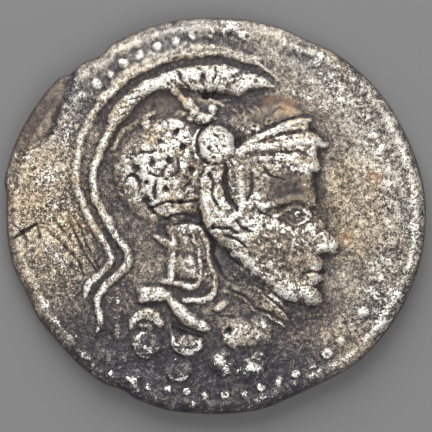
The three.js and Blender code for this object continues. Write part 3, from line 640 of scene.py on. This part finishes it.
def cut_field_marks(die):
    """Old strokes and a chisel mark in the left field, and pits near the rim"""
    for depth, *points in [
        (0.22, (-94, -6, 0.6), (-83, -18, 1), (-76.5, -25.5, 0.9), (-73, -34, 0.6)),
        (0.18, (-89, -1.5, 0.6), (-83, -10, 0.9), (-79, -15, 0.5)),
        (0.24, (-81, -4, 0.6), (-76.5, -13, 1), (-70.5, -24, 1), (-65.5, -32, 0.6)),
        (0.18, (-76, -5.5, 0.6), (-67, -25, 0.9), (-64.5, -32, 0.6)),
        (0.26, (-112, -11.5, 0.9), (-106, -8, 1.8), (-99, -4, 1)),
        (0.2, (-99.5, -3.5, 0.8), (-97.5, -11, 1.1)),
        (0.18, (-113, -4, 0.8), (-108, -8, 1.2), (-105, -13, 0.8)),
        (0.1, (-90, 51, 0.8), (-93.5, 43.5, 1), (-101, 37, 1), (-110, 34, 0.7)),
        (0.12, (-84.5, 62, 0.8), (-86.5, 56, 1.1), (-89, 50, 0.8)),
    ]:
        die.groove(points, depth)
    die.line([(-79.5, 81, 2.4), (-82, 70, 3.4), (-85.5, 60, 3.6), (-90, 50, 2.6), (-97, 42, 2)], -0.2)
    for x, y, rx, ry, depth, turn in [
        (8, 100.5, 2.6, 3.6, 0.24, -15), (78.5, 72.5, 2.6, 2.6, 0.14, 0), (88, 58, 2, 1.6, 0.1, 0),
        (64, 84, 2, 1.5, 0.1, 30), (-101, 26, 2.4, 1.8, 0.18, 30), (-106, 33, 1.6, 1.4, 0.14, 0),
        (-99, 44, 1.4, 1.2, 0.12, 0),
    ]:
        die.swell(x, y, rx, ry, -depth, turn)


def lip_zone():
    """The smooth piece of flan outside the groove at the upper left"""
    groove_x = np.interp(DIE_Y, [34, 37, 43.5, 51, 60, 70, 80], [-112, -101, -93.5, -90, -85.5, -82.5, -80])
    return rise(groove_x - DIE_X, -1, 2) * rise(DIE_Y, 33, 38)


def zoned(zones):
    """The sum of soft patches, each as amount, x, y, half sizes and turn in degrees"""
    return sum(amount * patch(*place) for amount, *place in zones)


def calm_zone():
    """Where the ground under the crest, behind the cheek and below the visor is smooth"""
    zones = [(1, -26, 62, 20, 10), (1, 30, 58, 32, 11), (1, 3, -22, 7, 22), (0.7, 40, 13, 20, 14)]
    return np.clip(zoned(zones), 0, 1)


def obverse_grid():
    die = Relief()
    carve_face(die)
    carve_throat(die)
    carve_helmet(die)
    carve_guard(die)
    carve_hair(die)
    before = die.lift.copy()
    carve_beads(die, np.random.default_rng(11))
    beads = np.clip((die.lift - before) / BEAD_HEIGHT, 0, 1)
    cut_field_marks(die)

    inset = edge_radius(GRID_ANGLE) - GRID_RADIUS
    share = 2 * np.hypot(GRID_X / FLAN_WIDTH, GRID_Y / FLAN_HEIGHT)
    low_lip = sector(DEGREES, LIP_AT, LIP_SPREAD) * (1 - rise(inset, LIP_WIDTH * 0.7, LIP_WIDTH))
    rim = RIM_HEIGHT * bell((inset - RIM_INSET) / RIM_HALF_WIDTH) * (1 - low_lip)
    field = FIELD_LEVEL - FIELD_FALL * share**2 + rim - LIP_DROP * low_lip

    # The worn die wanders, and what stands highest is rubbed flat.
    x = GRID_X + 0.035 * noise(0.2, 51) + 0.06 * noise(0.6, 52)
    y = GRID_Y + 0.035 * noise(0.2, 53) + 0.06 * noise(0.6, 54)
    grids = (die.lift, beads, die.cuts, die.shine)
    form, beads, cuts, shine = (sampled(grid, x, y) for grid in grids)
    form = -smooth_max(-form, -(blurred(form, 0.3) + 0.08), 0.08)

    # Ground: fine roughness, coarser along the border, and pits in the raised parts
    raised = rise(form, 0.06, 0.4)
    lip = lip_zone()
    border = rise(GRID_RADIUS, 11.4, 13) * rise(GRID_Y + 0.75 * GRID_X, -7, 3) * (1 - lip)
    calm = 1 - 0.75 * calm_zone()
    rough = 0.014 * (noise(0.07, 1) + noise(0.14, 2) + noise(0.5, 3)) * (1 + 0.6 * raised)
    rough += border * (1 - 0.8 * beads) * (0.02 * noise(0.09, 4) + 0.03 * noise(0.26, 5))
    pits = 0.07 * rise(noise(0.075, 6), 0.9, 1.7) + 0.11 * rise(noise(0.15, 7), 1.2, 2.1)
    height = field + form + rough * calm * (1 - 0.6 * lip)
    height -= pits * (0.15 + 0.85 * raised) * calm * (1 - 0.8 * lip)
    return height, form, beads, cuts, shine, inset, lip, border


def carve_wreath(die, detail):
    """Two branches of paired leaves that part at the bottom and meet at the top"""
    radius = WREATH_RADIUS / UNIT
    for side in (-1, 1):
        for i in range(LEAVES_PER_BRANCH):
            angle = 270 + side * (12 + 154 * i / (LEAVES_PER_BRANCH - 1))
            for lean in (-1, 1):
                points = [
                    (*polar(radius + out * lean, angle + side * ahead), half)
                    for ahead, out, half in ((0, 1, 1.4), (4.5, 4.5, 3.2), (9, 8, 1))
                ]
                die.ridge(points, LEAF_RELIEF)
                detail.groove([(x, y, 0.6) for x, y, _ in points], 0.05)
        stem = [polar(radius, 270 + side * (8 + 160 * i / 12)) for i in range(13)]
        die.ridge([(x, y, 1.3) for x, y in stem], 0.14)


def carve_jar(die, detail):
    """The oil jar lies on its side under the owl's feet."""
    die.mound(0, -40, 27, 11, JAR_RELIEF)
    die.ridge([(24, -40, 5), (38, -40, 4)], JAR_RELIEF * 0.9)
    die.mound(41, -40, 3, 7, JAR_RELIEF * 0.9)
    die.ridge([(-25, -40, 4), (-34, -40, 4.5)], JAR_RELIEF * 0.8)
    die.ridge([(36, -34, 2), (27, -27, 2.4), (16, -31, 2)], JAR_RELIEF * 0.7)
    for x in (-14, -5, 5, 14):
        detail.groove([(x * 0.9, -49.5, 0.8), (x * 1.1, -40, 1.1), (x * 0.9, -30.5, 0.8)], 0.07)


def carve_owl(die, detail):
    """The owl stands on the jar, its body to one side and its head turned to the front."""
    die.mound(-3, 4, 17, 27, OWL_RELIEF, -14)
    die.ridge([(-14, 22, 5), (-20, 2, 7), (-27, -18, 5), (-30, -30, 3)], OWL_RELIEF * 0.9)
    die.mound(6, 34, 15, 13, OWL_RELIEF * 1.1)
    die.ridge([(-1, -18, 2.6), (0, -28, 3)], OWL_RELIEF * 0.8)
    die.ridge([(8, -17, 2.6), (10, -28, 3)], OWL_RELIEF * 0.8)
    detail.groove([(-9, 24, 1), (0, 22.5, 1.4), (10, 21.5, 1.4), (16, 24, 1)], 0.12)
    detail.groove([(-8, 20, 1), (-12.5, 4, 1.5), (-17, -12, 1.4), (-20, -20, 1)], 0.12)
    for x in (0, 12):
        detail.swell(x, 35.5, 5, 5, -0.17)
        detail.swell(x, 35.5, 2.2, 2.2, 0.16)
    detail.line([(6, 36, 1.6), (6, 29, 1.3)], 0.07)
    for row in range(6):
        for i in range(4):
            detail.swell(-5.5 + 5.2 * i + (row % 2) * 2.4 - 1.3 * row, 16 - 6 * row, 2, 2.6, -0.08)
    for i in range(4):
        detail.groove([(-15.5 - 1.6 * i, 12 - 8 * i, 0.7), (-20.5 - 2 * i, -1 - 8 * i, 0.9)], 0.08)


def reverse_grid():
    die, detail = Relief(), Relief()
    carve_wreath(die, detail)
    carve_jar(die, detail)
    carve_owl(die, detail)

    # Rows of short parallel strokes where such a coin has its inscription
    for x0, y0, count in [(-54, 46, 5), (30, 46, 5), (-58, 6, 4), (34, 4, 5), (-58, -14, 4), (34, -14, 5)]:
        for i in range(count):
            die.ridge([(x0 + 4.6 * i, y0, 1), (x0 + 4.6 * i + 1, y0 - 6, 1.1)], 0.13)

    # The reverse is drawn as seen from below, so its X runs the other way. What stands highest is worn round.
    form = (REVERSE_FIELD * np.tanh(die.lift / (0.8 * REVERSE_FIELD)) + detail.lift)[:, ::-1]
    inset = edge_radius(GRID_ANGLE) - GRID_RADIUS
    rim = 1 - rise(inset, REVERSE_RIM, REVERSE_RIM + REVERSE_RIM_SLOPE)
    carved = smooth_max(REVERSE_FIELD * rim, form, 0.04) - 0.01 * (1 - rim)
    rough = (0.009 * noise(0.12, 21) + 0.009 * noise(0.3, 22) + 0.012 * noise(0.9, 23)) * (1 - rim)
    pits = 0.08 * rise(noise(0.16, 24), 1.8, 3)
    level = np.maximum(0, REVERSE_FIELD - carved + rough)
    return level + pits * (0.4 + 0.6 * rim), form


def sampled(grid, x, y):
    """Grid values at points, between the cells"""
    u, v = (x + REACH) / PITCH, (y + REACH) / PITCH
    i, j = np.clip(u.astype(int), 0, len(AXIS) - 2), np.clip(v.astype(int), 0, len(AXIS) - 2)
    s, t = u - i, v - j
    low = grid[j, i] * (1 - s) + grid[j, i + 1] * s
    high = grid[j + 1, i] * (1 - s) + grid[j + 1, i + 1] * s
    return low * (1 - t) + high * t


def disc(rings):
    """A disc inside the edge ring as rings of 6, 12, 18 ... points, and its triangles"""
    ring_of = np.concatenate([[0]] + [np.full(6 * k, k) for k in range(1, rings + 1)])
    angle = np.concatenate([[0.0]] + [2 * math.pi * np.arange(6 * k) / (6 * k) for k in range(1, rings + 1)])
    radius = (edge_radius(angle) - EDGE_ROUND) * ring_of / rings
    starts = [0] + [1 + 3 * k * (k - 1) for k in range(1, rings + 1)]
    faces = []
    for k in range(1, rings + 1):
        inner, outer = max(6 * (k - 1), 1), 6 * k
        for sixth in range(6):
            for i in range(k):
                a = starts[k] + (sixth * k + i) % outer
                b = starts[k] + (sixth * k + i + 1) % outer
                c = starts[k - 1] + (sixth * (k - 1) + i) % inner
                faces.append((a, b, c))
                if i < k - 1:
                    d = starts[k - 1] + (sixth * (k - 1) + i + 1) % inner
                    faces.append((b, d, c))
    return radius * np.cos(angle), radius * np.sin(angle), np.array(faces), starts[rings]


LIP_GROOVE = (-80.5, 70, 4.5, 22, -12)

WEAR_AND_SHADE_ZONES = [
    # amount, x, y, half sizes and turn in degrees: how much more of the raised metal is rubbed bright; two
    # patches are painted shade instead, beneath the visor and beneath the brush
    (0.26, -12, 75, 48, 11, 6), (0.34, 1, 39, 12, 12), (0.2, -26, 42, 22, 15), (-0.2, -45, 2, 15, 14),
    (-0.26, -16, 25, 11, 19, -8), (0.14, -36, 28, 12, 12, -20), (0.12, -46, 16, 8, 9),
    (0.14, -26, 14, 8, 15), (-0.26, -51, 37, 13, 13), (-0.3, -36, 43, 13, 8), (-0.34, -46, 49, 16, 8, 42),
    (0.16, -18, 49, 13, 6), (-0.42, -37, -70.5, 7, 7), (-0.4, -16, -69, 8, 6), (-0.3, -19.5, -84, 6, 5),
    (0.3, -71.5, -78, 5, 4), (0.3, -80, -68, 5, 4), (0.4, -54.5, -64.5, 4, 7), (0.16, -66, -56, 4, 10),
    (0.16, 36, 41, 28, 11, 8), (0.14, -10, 58, 12, 12), (0.16, 0, 14, 12, 24, 12),
    (0.2, 19, 0, 24, 15, -30), (0.25, 38, -41, 20, 8, -8), (0.3, 65, -19, 8, 6), (0.16, 54, -43, 9, 7),
    # The second patch on this line is painted shade beneath the visor, and the fourth is painted shade
    # beneath the brush of the crest.
    (-0.6, 43, 5, 16, 13), (-0.55, 36, 17, 22, 12), (-0.4, 48, -25, 11, 10), (-0.5, -1, 66, 13, 5, 4),
    (-0.7, 14, -42, 30, 15, -38), (-0.08, -15, -20, 14, 24), (0.3, -36, -43, 11, 6),
    (0.28, -14, -53, 16, 8, -42), (0.1, -38, -60, 13, 20), (-0.02, 8, -74, 32, 20),
    (0.04, 19, -65, 16, 13), (-0.22, 33, -22, 18, 12, -10), (0.25, 12, 57, 14, 8),
    (-0.16, -20, -86, 11, 9), (0.14, 4, -82, 11, 10), (0.14, 19, -84, 11, 10), (-0.2, -4, -40, 12, 10),
    (-0.6, -12, 90, 66, 11, 5), (-0.3, -68, 62, 22, 14, 48), (-0.12, -78, 22, 8, 34),
    (-0.08, -62, -18, 12, 26, 20),
]

FIELD_ZONES = [
    # the same for the field
    (0.3, 47, 67, 11, 6, -32), (0.16, 60, 60, 8, 5, -32), (0.1, 88, 30, 8, 26, 8),
    (0.1, 70, 64, 12, 7, -40), (0.1, -92, 20, 16, 26), (0.1, -62, -46, 10, 12), (0.14, 10, 106, 60, 12),
    (-0.3, *LIP_GROOVE),
]

PATINA_ZONES = [
    # how much lighter the patina is, or darker with a minus
    (-0.22, *LIP_GROOVE), (-0.18, -72, -56, 30, 24, -30), (-0.1, -50, -46, 24, 20),
    (-0.24, 42, -64, 38, 24, 30), (-0.14, 28, 60, 30, 12), (0.08, 20, 104, 70, 16),
    (-0.2, 40, 11, 24, 19), (-0.22, 12, -40, 30, 15, -38), (-0.16, 3, -22, 9, 24),
]

COLD_ZONES = [
    # how much colder the tone is
    (0.7, 4, -22, 8, 24), (0.5, 80, 18, 10, 42), (0.6, 54, 84, 26, 13, -32), (0.7, *LIP_GROOVE),
]

RUST_ZONES = [
    # how much rust there is
    (1, 71, -13, 9, 7), (1, 38, 62, 10, 7), (1, 29, 64, 7, 5), (1, 88, 20, 8, 8), (1, 40, 58, 6, 4),
    (0.8, -118, 4, 8, 20),
]

# What the material reads at each point, with the value at the middle of the edge
EDGE_PAINT = {"bright": -0.1, "patina": 0.22, "warm": 0.2, "cold": 0.2, "grain": 0.5, "rust": 0}


def looks(height, form):
    """From heights: how far the metal is rubbed bright, and how light the patina is"""
    fine, mid, wide = (height - blurred(height, r) for r in (0.16, 0.45, 1.3))
    raised = rise(form, 0.1, 0.6)
    bright = -0.02 + 0.24 * raised + 2.0 * np.clip(fine, -0.08, 0.08) + 1.5 * np.clip(mid, -0.2, 0.2)
    bright += 0.2 * np.clip(wide, -0.5, 0.5)
    patina = 0.5 + 2.0 * np.clip(fine, -0.12, 0.1) + 1.3 * np.clip(mid, -0.22, 0.12)
    patina += 0.35 * np.clip(wide, -0.5, 0.2)
    return bright, patina


def obverse_paints(height, form, beads, cuts, shine, inset, lip, border):
    bright, patina = looks(height, form)
    raised = rise(form, 0.1, 0.6)
    calm = calm_zone()
    recess = rise(blurred(height, 0.5) - height, 0.03, 0.16)

    # Patches of tone: warm tan in the left field and before the face; along the bottom a cold tone, and
    # darker there as painted shade of light falling from above
    left = np.clip(1.5 * patch(-90, 2, 36, 66), 0, 1)
    front = np.clip(1.4 * patch(76, 8, 30, 46), 0, 1)
    lower_right = patch(52, -66, 44, 30, 30)
    below = np.clip(1.4 * patch(-28, -92, 80, 44, -14) + 1.1 * patch(30, -96, 56, 34, 14), 0, 1)
    crown = patch(-26, 62, 22, 11) + patch(22, 60, 28, 9)
    forehead = patch(42, 18, 22, 17)
    top_border = border * sector(DEGREES, 92, 46)
    bead_ring = np.hypot(GRID_X - BEAD_RING_X, GRID_Y - BEAD_RING_Y) - DIE_RADIUS
    bead_band = bell((bead_ring + 0.4) / 1.5) * sector(DEGREES, CLEAR_BEADS, 26)
    around_beads = np.clip(2.4 * blurred(beads, 0.22), 0, 1) * (1 - beads)

    # Patches of rubbed silver, and two patches of painted shade beneath the visor and beneath the brush
    for amount, *place in WEAR_AND_SHADE_ZONES:
        bright += amount * np.clip(1.5 * patch(*place), 0, 1) * (0.25 + 0.75 * raised)
    bright += zoned(FIELD_ZONES) + shine - 1.8 * cuts
    bright += (0.04 + 0.22 * raised) * noise(0.12, 30) + 0.09 * noise(0.3, 31) + 0.05 * noise(0.8, 32)
    # The minus in below is painted shade along the bottom.
    bright += 0.04 * border + 0.05 * left - 0.2 * below - 0.9 * calm - 0.3 * lip
    bright += (0.5 + 0.3 * below) * beads - 0.3 * around_beads - 0.24 * bead_band * (1 - beads)
    bright += 0.1 * border * noise(0.35, 43) - 0.12 * border * sector(DEGREES, CLEAR_BEADS, 24)

    # The rim: dark at the very edge, patchy at the lower left and brighter along its ridge at the lower right
    rim_band = 1 - rise(inset, 1.3, 1.8)
    ridge = bell((inset - 0.95) / 0.7) * sector((DEGREES + 90) % 360, 66, 50)
    bright += rim_band * sector(DEGREES, 225, 48) * (0.3 * noise(0.26, 44) - 0.14)
    bright += ridge * (0.22 + 0.08 * noise(0.3, 45)) - 0.3 * (1 - rise(inset, 0, 0.2))

    halo = np.clip(height - blurred(height, 0.45), -0.22, 0)
    patina -= 0.9 * halo * patch(64, -8, 26, 66) * (1 - rise(form, 0.1, 0.5))
    patina += 0.05 * (noise(0.14, 35) + noise(0.5, 36) + noise(1.5, 37)) + zoned(PATINA_ZONES)
    # Darker along the bottom through below: painted shade.
    patina += 0.07 * left + 0.2 * front + 0.05 * lower_right - 0.5 * below - 0.04 * crown
    patina += 0.09 * border - 0.16 * lip - 0.24 * (1 - rise(inset, 0, 0.25))
    patina += 0.1 * beads - 0.16 * around_beads
    patina = smooth_max(patina, 0.17, 0.12) - 0.8 * cuts

    warm = 0.6 * left + 0.6 * front + 0.2 * lower_right + 0.45 * crown - 0.3 * lip
    warm += 0.12 * noise(1.2, 33) + 0.3 * raised * (1 - below)
    cold = 0.95 * below + 0.1 * recess + 0.4 * border + 0.5 * bead_band + zoned(COLD_ZONES)
    cold += 0.12 * noise(1.5, 34) + 0.35 * rise(-patina, -0.36, -0.12)
    patina += 0.08 * top_border + 0.1 * below * noise(0.2, 46) - 0.12 * forehead
    grain = 0.8 + 0.6 * left + 0.3 * front + 0.5 * border + 0.2 * raised + 0.1 * below
    grain -= 0.6 * calm + 0.4 * lip + 0.5 * top_border + 0.3 * bead_band + 0.5 * forehead
    grain *= 1.35 * (1 - 0.3 * recess)
    rust = zoned(RUST_ZONES) * (0.4 + 0.3 * noise(0.3, 42)) + 0.12 * lip
    return {"bright": bright, "patina": patina, "warm": warm, "cold": cold, "grain": grain, "rust": rust}


def reverse_paints(height, form):
    bright, patina = looks(-height, form)
    on_form = rise(form, 0.1, 0.3)
    return {
        "bright": bright - 0.08 + 0.2 * on_form + 0.1 * noise(0.4, 38),
        "patina": patina - 0.08 + 0.14 * on_form + 0.06 * noise(0.9, 35),
        "warm": 0.3 + 0.2 * noise(1.4, 39),
        "cold": 0.3 + 0.2 * noise(1.4, 40),
        "grain": np.full_like(height, 0.6),
        "rust": np.zeros_like(height),
    }


def edge_faces(rings):
    """Triangles down the edge. The obverse's ring has twice as many points as each of the others."""
    first, second = rings[:2]
    faces = []
    for i in range(len(second)):
        j = (i + 1) % len(second)
        a, b, c = first[2 * i], first[2 * i + 1], first[2 * j]
        faces += [(a, second[i], b), (b, second[i], second[j]), (b, second[j], c)]
    for ring, under in zip(rings[1:-1], rings[2:]):
        for i in range(len(ring)):
            j = (i + 1) % len(ring)
            faces += [(ring[i], under[i], ring[j]), (ring[j], under[i], under[j])]
    return np.array(faces)


def build_coin():
    top, low = obverse_grid(), reverse_grid()
    above, under = obverse_paints(*top), reverse_paints(*low)
    x1, y1, faces1, edge1 = disc(OBVERSE_RINGS)
    x2, y2, faces2, edge2 = disc(REVERSE_RINGS)
    x, y = [x1, x2], [y1, y2]
    z = [sampled(top[0], x1, y1), sampled(low[0], x2, y2)]
    paints = {name: [sampled(above[name], x1, y1), sampled(under[name], x2, y2)] for name in EDGE_PAINT}

    # The edge, in rings that each have the reverse's number of points
    rings = [np.arange(edge1, len(x1))]
    total = len(x1) + len(x2)
    count = len(x2) - edge2
    angle = 2 * math.pi * np.arange(count) / count
    over, below = z[0][edge1::2], z[1][edge2:]
    wander = np.random.default_rng(41)
    waves = [(n, wander.uniform(0, 6.28), wander.normal(0, 1 / n**0.5)) for n in (5, 9, 14, 23, 37, 61)]
    for k in range(1, EDGE_STEPS):
        lean = math.pi * (0.5 - k / EDGE_STEPS)
        dent = sum(a * np.sin(n * angle + p + 2.5 * lean) for n, p, a in waves) * EDGE_DENT * math.cos(lean)
        radius = edge_radius(angle) - EDGE_ROUND * (1 - math.cos(lean)) - EDGE_INSET + dent
        x.append(radius * np.cos(angle))
        y.append(radius * np.sin(angle))
        z.append((over + below) / 2 + (over - below) / 2 * math.sin(lean))
        share = rise(k, 1, 4)
        for name, value in EDGE_PAINT.items():
            worn = value + 3 * dent * (name in ("bright", "patina"))
            paints[name].append((1 - share) * sampled(above[name], x[-1], y[-1]) + share * worn)
        rings.append(np.arange(total, total + count))
        total += count
    rings.append(np.arange(len(x1) + edge2, len(x1) + len(x2)))

    x, y, z = (np.concatenate(v) for v in (x, y, z))
    x -= (x.max() + x.min()) / 2
    y -= (y.max() + y.min()) / 2
    mesh = bpy.data.meshes.new("tetradrachm_struck")
    points = np.stack([x, y, z], axis=1) / 1000
    faces = np.vstack([faces1, faces2[:, ::-1] + len(x1), edge_faces(rings)])
    mesh.from_pydata(points.tolist(), [], faces.tolist())
    mesh.validate()
    mesh.update()
    for name, values in paints.items():
        data = np.clip(np.concatenate(values), -1, 2).astype(np.float32)
        mesh.attributes.new(name, "FLOAT", "POINT").data.foreach_set("value", data)
    mesh.polygons.foreach_set("use_smooth", np.ones(len(mesh.polygons), bool))
    coin = bpy.data.objects.new("tetradrachm_struck", mesh)
    bpy.context.collection.objects.link(coin)
    return coin


class Nodes:
    """Short calls for building a material's node tree"""

    def __init__(self, name):
        self.material = bpy.data.materials.new(name)
        self.material.use_nodes = True
        self.tree = self.material.node_tree
        self.tree.nodes.clear()

    def make(self, kind, **settings):
        node = self.tree.nodes.new(kind)
        for key, value in settings.items():
            setattr(node, key, value)
        return node

    def set(self, socket, value):
        if isinstance(value, bpy.types.NodeSocket):
            self.tree.links.new(value, socket)
        else:
            socket.default_value = value

    def attribute(self, name):
        return self.make("ShaderNodeAttribute", attribute_name=name).outputs["Fac"]

    def noise(self, where, scale, detail=3.0, roughness=0.6):
        node = self.make("ShaderNodeTexNoise")
        self.set(node.inputs["Vector"], where)
        for key, value in (("Scale", scale), ("Detail", detail), ("Roughness", roughness)):
            node.inputs[key].default_value = value
        return node.outputs["Fac"]

    def math(self, operation, a, b=0.0, c=0.0, clamp=False):
        node = self.make("ShaderNodeMath", operation=operation, use_clamp=clamp)
        for socket, value in zip(node.inputs, (a, b, c)):
            self.set(socket, value)
        return node.outputs[0]

    def span(self, value, low, high, to_low=0.0, to_high=1.0):
        node = self.make("ShaderNodeMapRange")
        for socket, v in zip(node.inputs, (value, low, high, to_low, to_high)):
            self.set(socket, v)
        return node.outputs[0]

    def ramp(self, value, stops):
        node = self.make("ShaderNodeValToRGB")
        ramp = node.color_ramp
        while len(ramp.elements) < len(stops):
            ramp.elements.new(0.5)
        for element, (at, colour) in zip(ramp.elements, stops):
            element.position = at
            element.color = (*colour, 1)
        self.set(node.inputs[0], value)
        return node.outputs[0]

    def mix(self, factor, a, b, blend="MIX"):
        node = self.make("ShaderNodeMix", data_type="RGBA", blend_type=blend)
        self.set(node.inputs["Factor"], factor)
        self.set(node.inputs[6], a)
        self.set(node.inputs[7], b)
        return node.outputs[2]

    def finished(self, shader):
        self.set(self.make("ShaderNodeOutputMaterial").inputs[0], shader.outputs[0])
        return self.material


# Colours of the metal and of what lies on it
PATINA_TONES = [
    (0.0, (0.017, 0.014, 0.015)),
    (0.25, (0.058, 0.047, 0.048)),
    (0.5, (0.168, 0.140, 0.112)),
    (0.75, (0.37, 0.315, 0.245)),
    (1.0, (0.66, 0.59, 0.48)),
]
WARM_TINT = (1.0, 0.86, 0.62, 1)
COLD_TINT = (0.80, 0.90, 1.08, 1)
RUST = (0.36, 0.19, 0.075, 1)
PIT = (0.035, 0.028, 0.026, 1)
RUBBED_SILVER = (0.81, 0.785, 0.72, 1)
BUMP_STRENGTH = 0.6
BUMP_HEIGHT = 0.00009


def silver_material():
    n = Nodes("worn silver")
    where = n.make("ShaderNodeTexCoord").outputs["Object"]
    bright, patina, warm, cold, grain, rust = (n.attribute(name) for name in EDGE_PAINT)
    coarse = n.math("SUBTRACT", n.noise(where, 3300, 2.0, 0.6), 0.5)
    fine = n.math("SUBTRACT", n.noise(where, 9000, 2.0, 0.8), 0.5)
    speck = n.noise(where, 6200, 1.0, 0.6)
    uneven = n.math("MULTIPLY", n.math("MULTIPLY_ADD", fine, 1.5, coarse), grain)

    tone = n.math("MULTIPLY_ADD", uneven, 1.1, patina)
    tone = n.math("SUBTRACT", tone, n.math("MULTIPLY", n.span(speck, 0.60, 0.68, 0, 0.3), grain), clamp=True)
    colour = n.ramp(tone, PATINA_TONES)
    for amount, most, tint, blend in (
        (warm, 0.8, WARM_TINT, "MULTIPLY"), (cold, 0.8, COLD_TINT, "MULTIPLY"), (rust, 0.6, RUST, "MIX")
    ):
        colour = n.mix(n.math("MULTIPLY", amount, most, clamp=True), colour, tint, blend)

    rubbed = n.span(n.math("MULTIPLY_ADD", uneven, 0.8, bright), 0.33, 0.47)
    pitted = n.math("MAXIMUM", n.span(speck, 0.55, 0.6), n.span(n.noise(where, 2700, 1.5, 0.6), 0.6, 0.65))
    rubbed = n.math("SUBTRACT", rubbed, n.math("MULTIPLY", pitted, 0.9), clamp=True)
    colour = n.mix(n.math("MULTIPLY", pitted, n.span(bright, 0.2, 0.6, 0.0, 0.6)), colour, PIT)
    colour = n.mix(rubbed, colour, RUBBED_SILVER)

    bump = n.make("ShaderNodeBump")
    bump.inputs["Strength"].default_value = BUMP_STRENGTH
    bump.inputs["Distance"].default_value = BUMP_HEIGHT
    n.set(bump.inputs["Height"], n.math("ADD", fine, coarse))
    shader = n.make("ShaderNodeBsdfPrincipled")
    n.set(shader.inputs["Base Color"], colour)
    n.set(shader.inputs["Metallic"], n.span(rubbed, 0, 1, 0.3, 0.7))
    n.set(shader.inputs["Roughness"], n.span(rubbed, 0, 1, 0.58, 0.42))
    n.set(shader.inputs["Normal"], bump.outputs[0])
    return n.finished(shader)


def plain_material(name, colour, roughness):
    n = Nodes(name)
    shader = n.make("ShaderNodeBsdfPrincipled")
    shader.inputs["Base Color"].default_value = (*colour, 1)
    shader.inputs["Roughness"].default_value = roughness
    return n.finished(shader)


def area_light(name, place, size, power):
    """A square light that faces the coin"""
    data = bpy.data.lights.new(name, "AREA")
    data.shape = "SQUARE"
    data.size = size
    data.energy = power
    light = bpy.data.objects.new(name, data)
    light.location = place
    light.rotation_euler = light.location.to_track_quat("Z", "Y").to_euler()
    bpy.context.collection.objects.link(light)


coin = build_coin()
coin.data.materials.append(silver_material())
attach(coin, "root")
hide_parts("tetradrachm")

# Staging: floor, lights, and a camera that looks straight down
FLOOR_SIZE = 1.2
FLOOR_COLOUR = (0.154, 0.154, 0.154)
FLOOR_ROUGHNESS = 0.9
KEY_PLACE, KEY_SIZE, KEY_POWER = (-0.05, 0.26, 0.21), 0.3, 1.6
FILL_PLACE, FILL_SIZE, FILL_POWER = (0.12, -0.16, 0.30), 0.25, 0.5
SURROUND_POWER = 0.52
PICTURE_WIDTH = 432
PIXEL = 0.0000761  # how much of the coin's plane one pixel of the picture covers, in metres
COIN_PLANE = 0.0012  # how high that plane lies above the floor
LENS, SENSOR = 200, 36

bpy.ops.mesh.primitive_plane_add(size=FLOOR_SIZE, location=(0, 0, 0))
floor = bpy.context.object
floor.name = "floor"
floor.data.materials.append(plain_material("pale floor", FLOOR_COLOUR, FLOOR_ROUGHNESS))

area_light("key", KEY_PLACE, KEY_SIZE, KEY_POWER)
area_light("fill", FILL_PLACE, FILL_SIZE, FILL_POWER)
world = bpy.data.worlds.new("studio")
world.use_nodes = True
world.node_tree.nodes["Background"].inputs[0].default_value = (1, 1, 1, 1)
world.node_tree.nodes["Background"].inputs[1].default_value = SURROUND_POWER
bpy.context.scene.world = world

camera_data = bpy.data.cameras.new("camera")
camera_data.lens = LENS
camera_data.sensor_width = SENSOR
camera_data.clip_start = 0.01
camera = bpy.data.objects.new("camera", camera_data)
camera.location = (PIXEL, 0, COIN_PLANE + PICTURE_WIDTH * PIXEL * LENS / SENSOR)
bpy.context.collection.objects.link(camera)
bpy.context.scene.camera = camera
bpy.context.scene.view_settings.view_transform = "Standard"
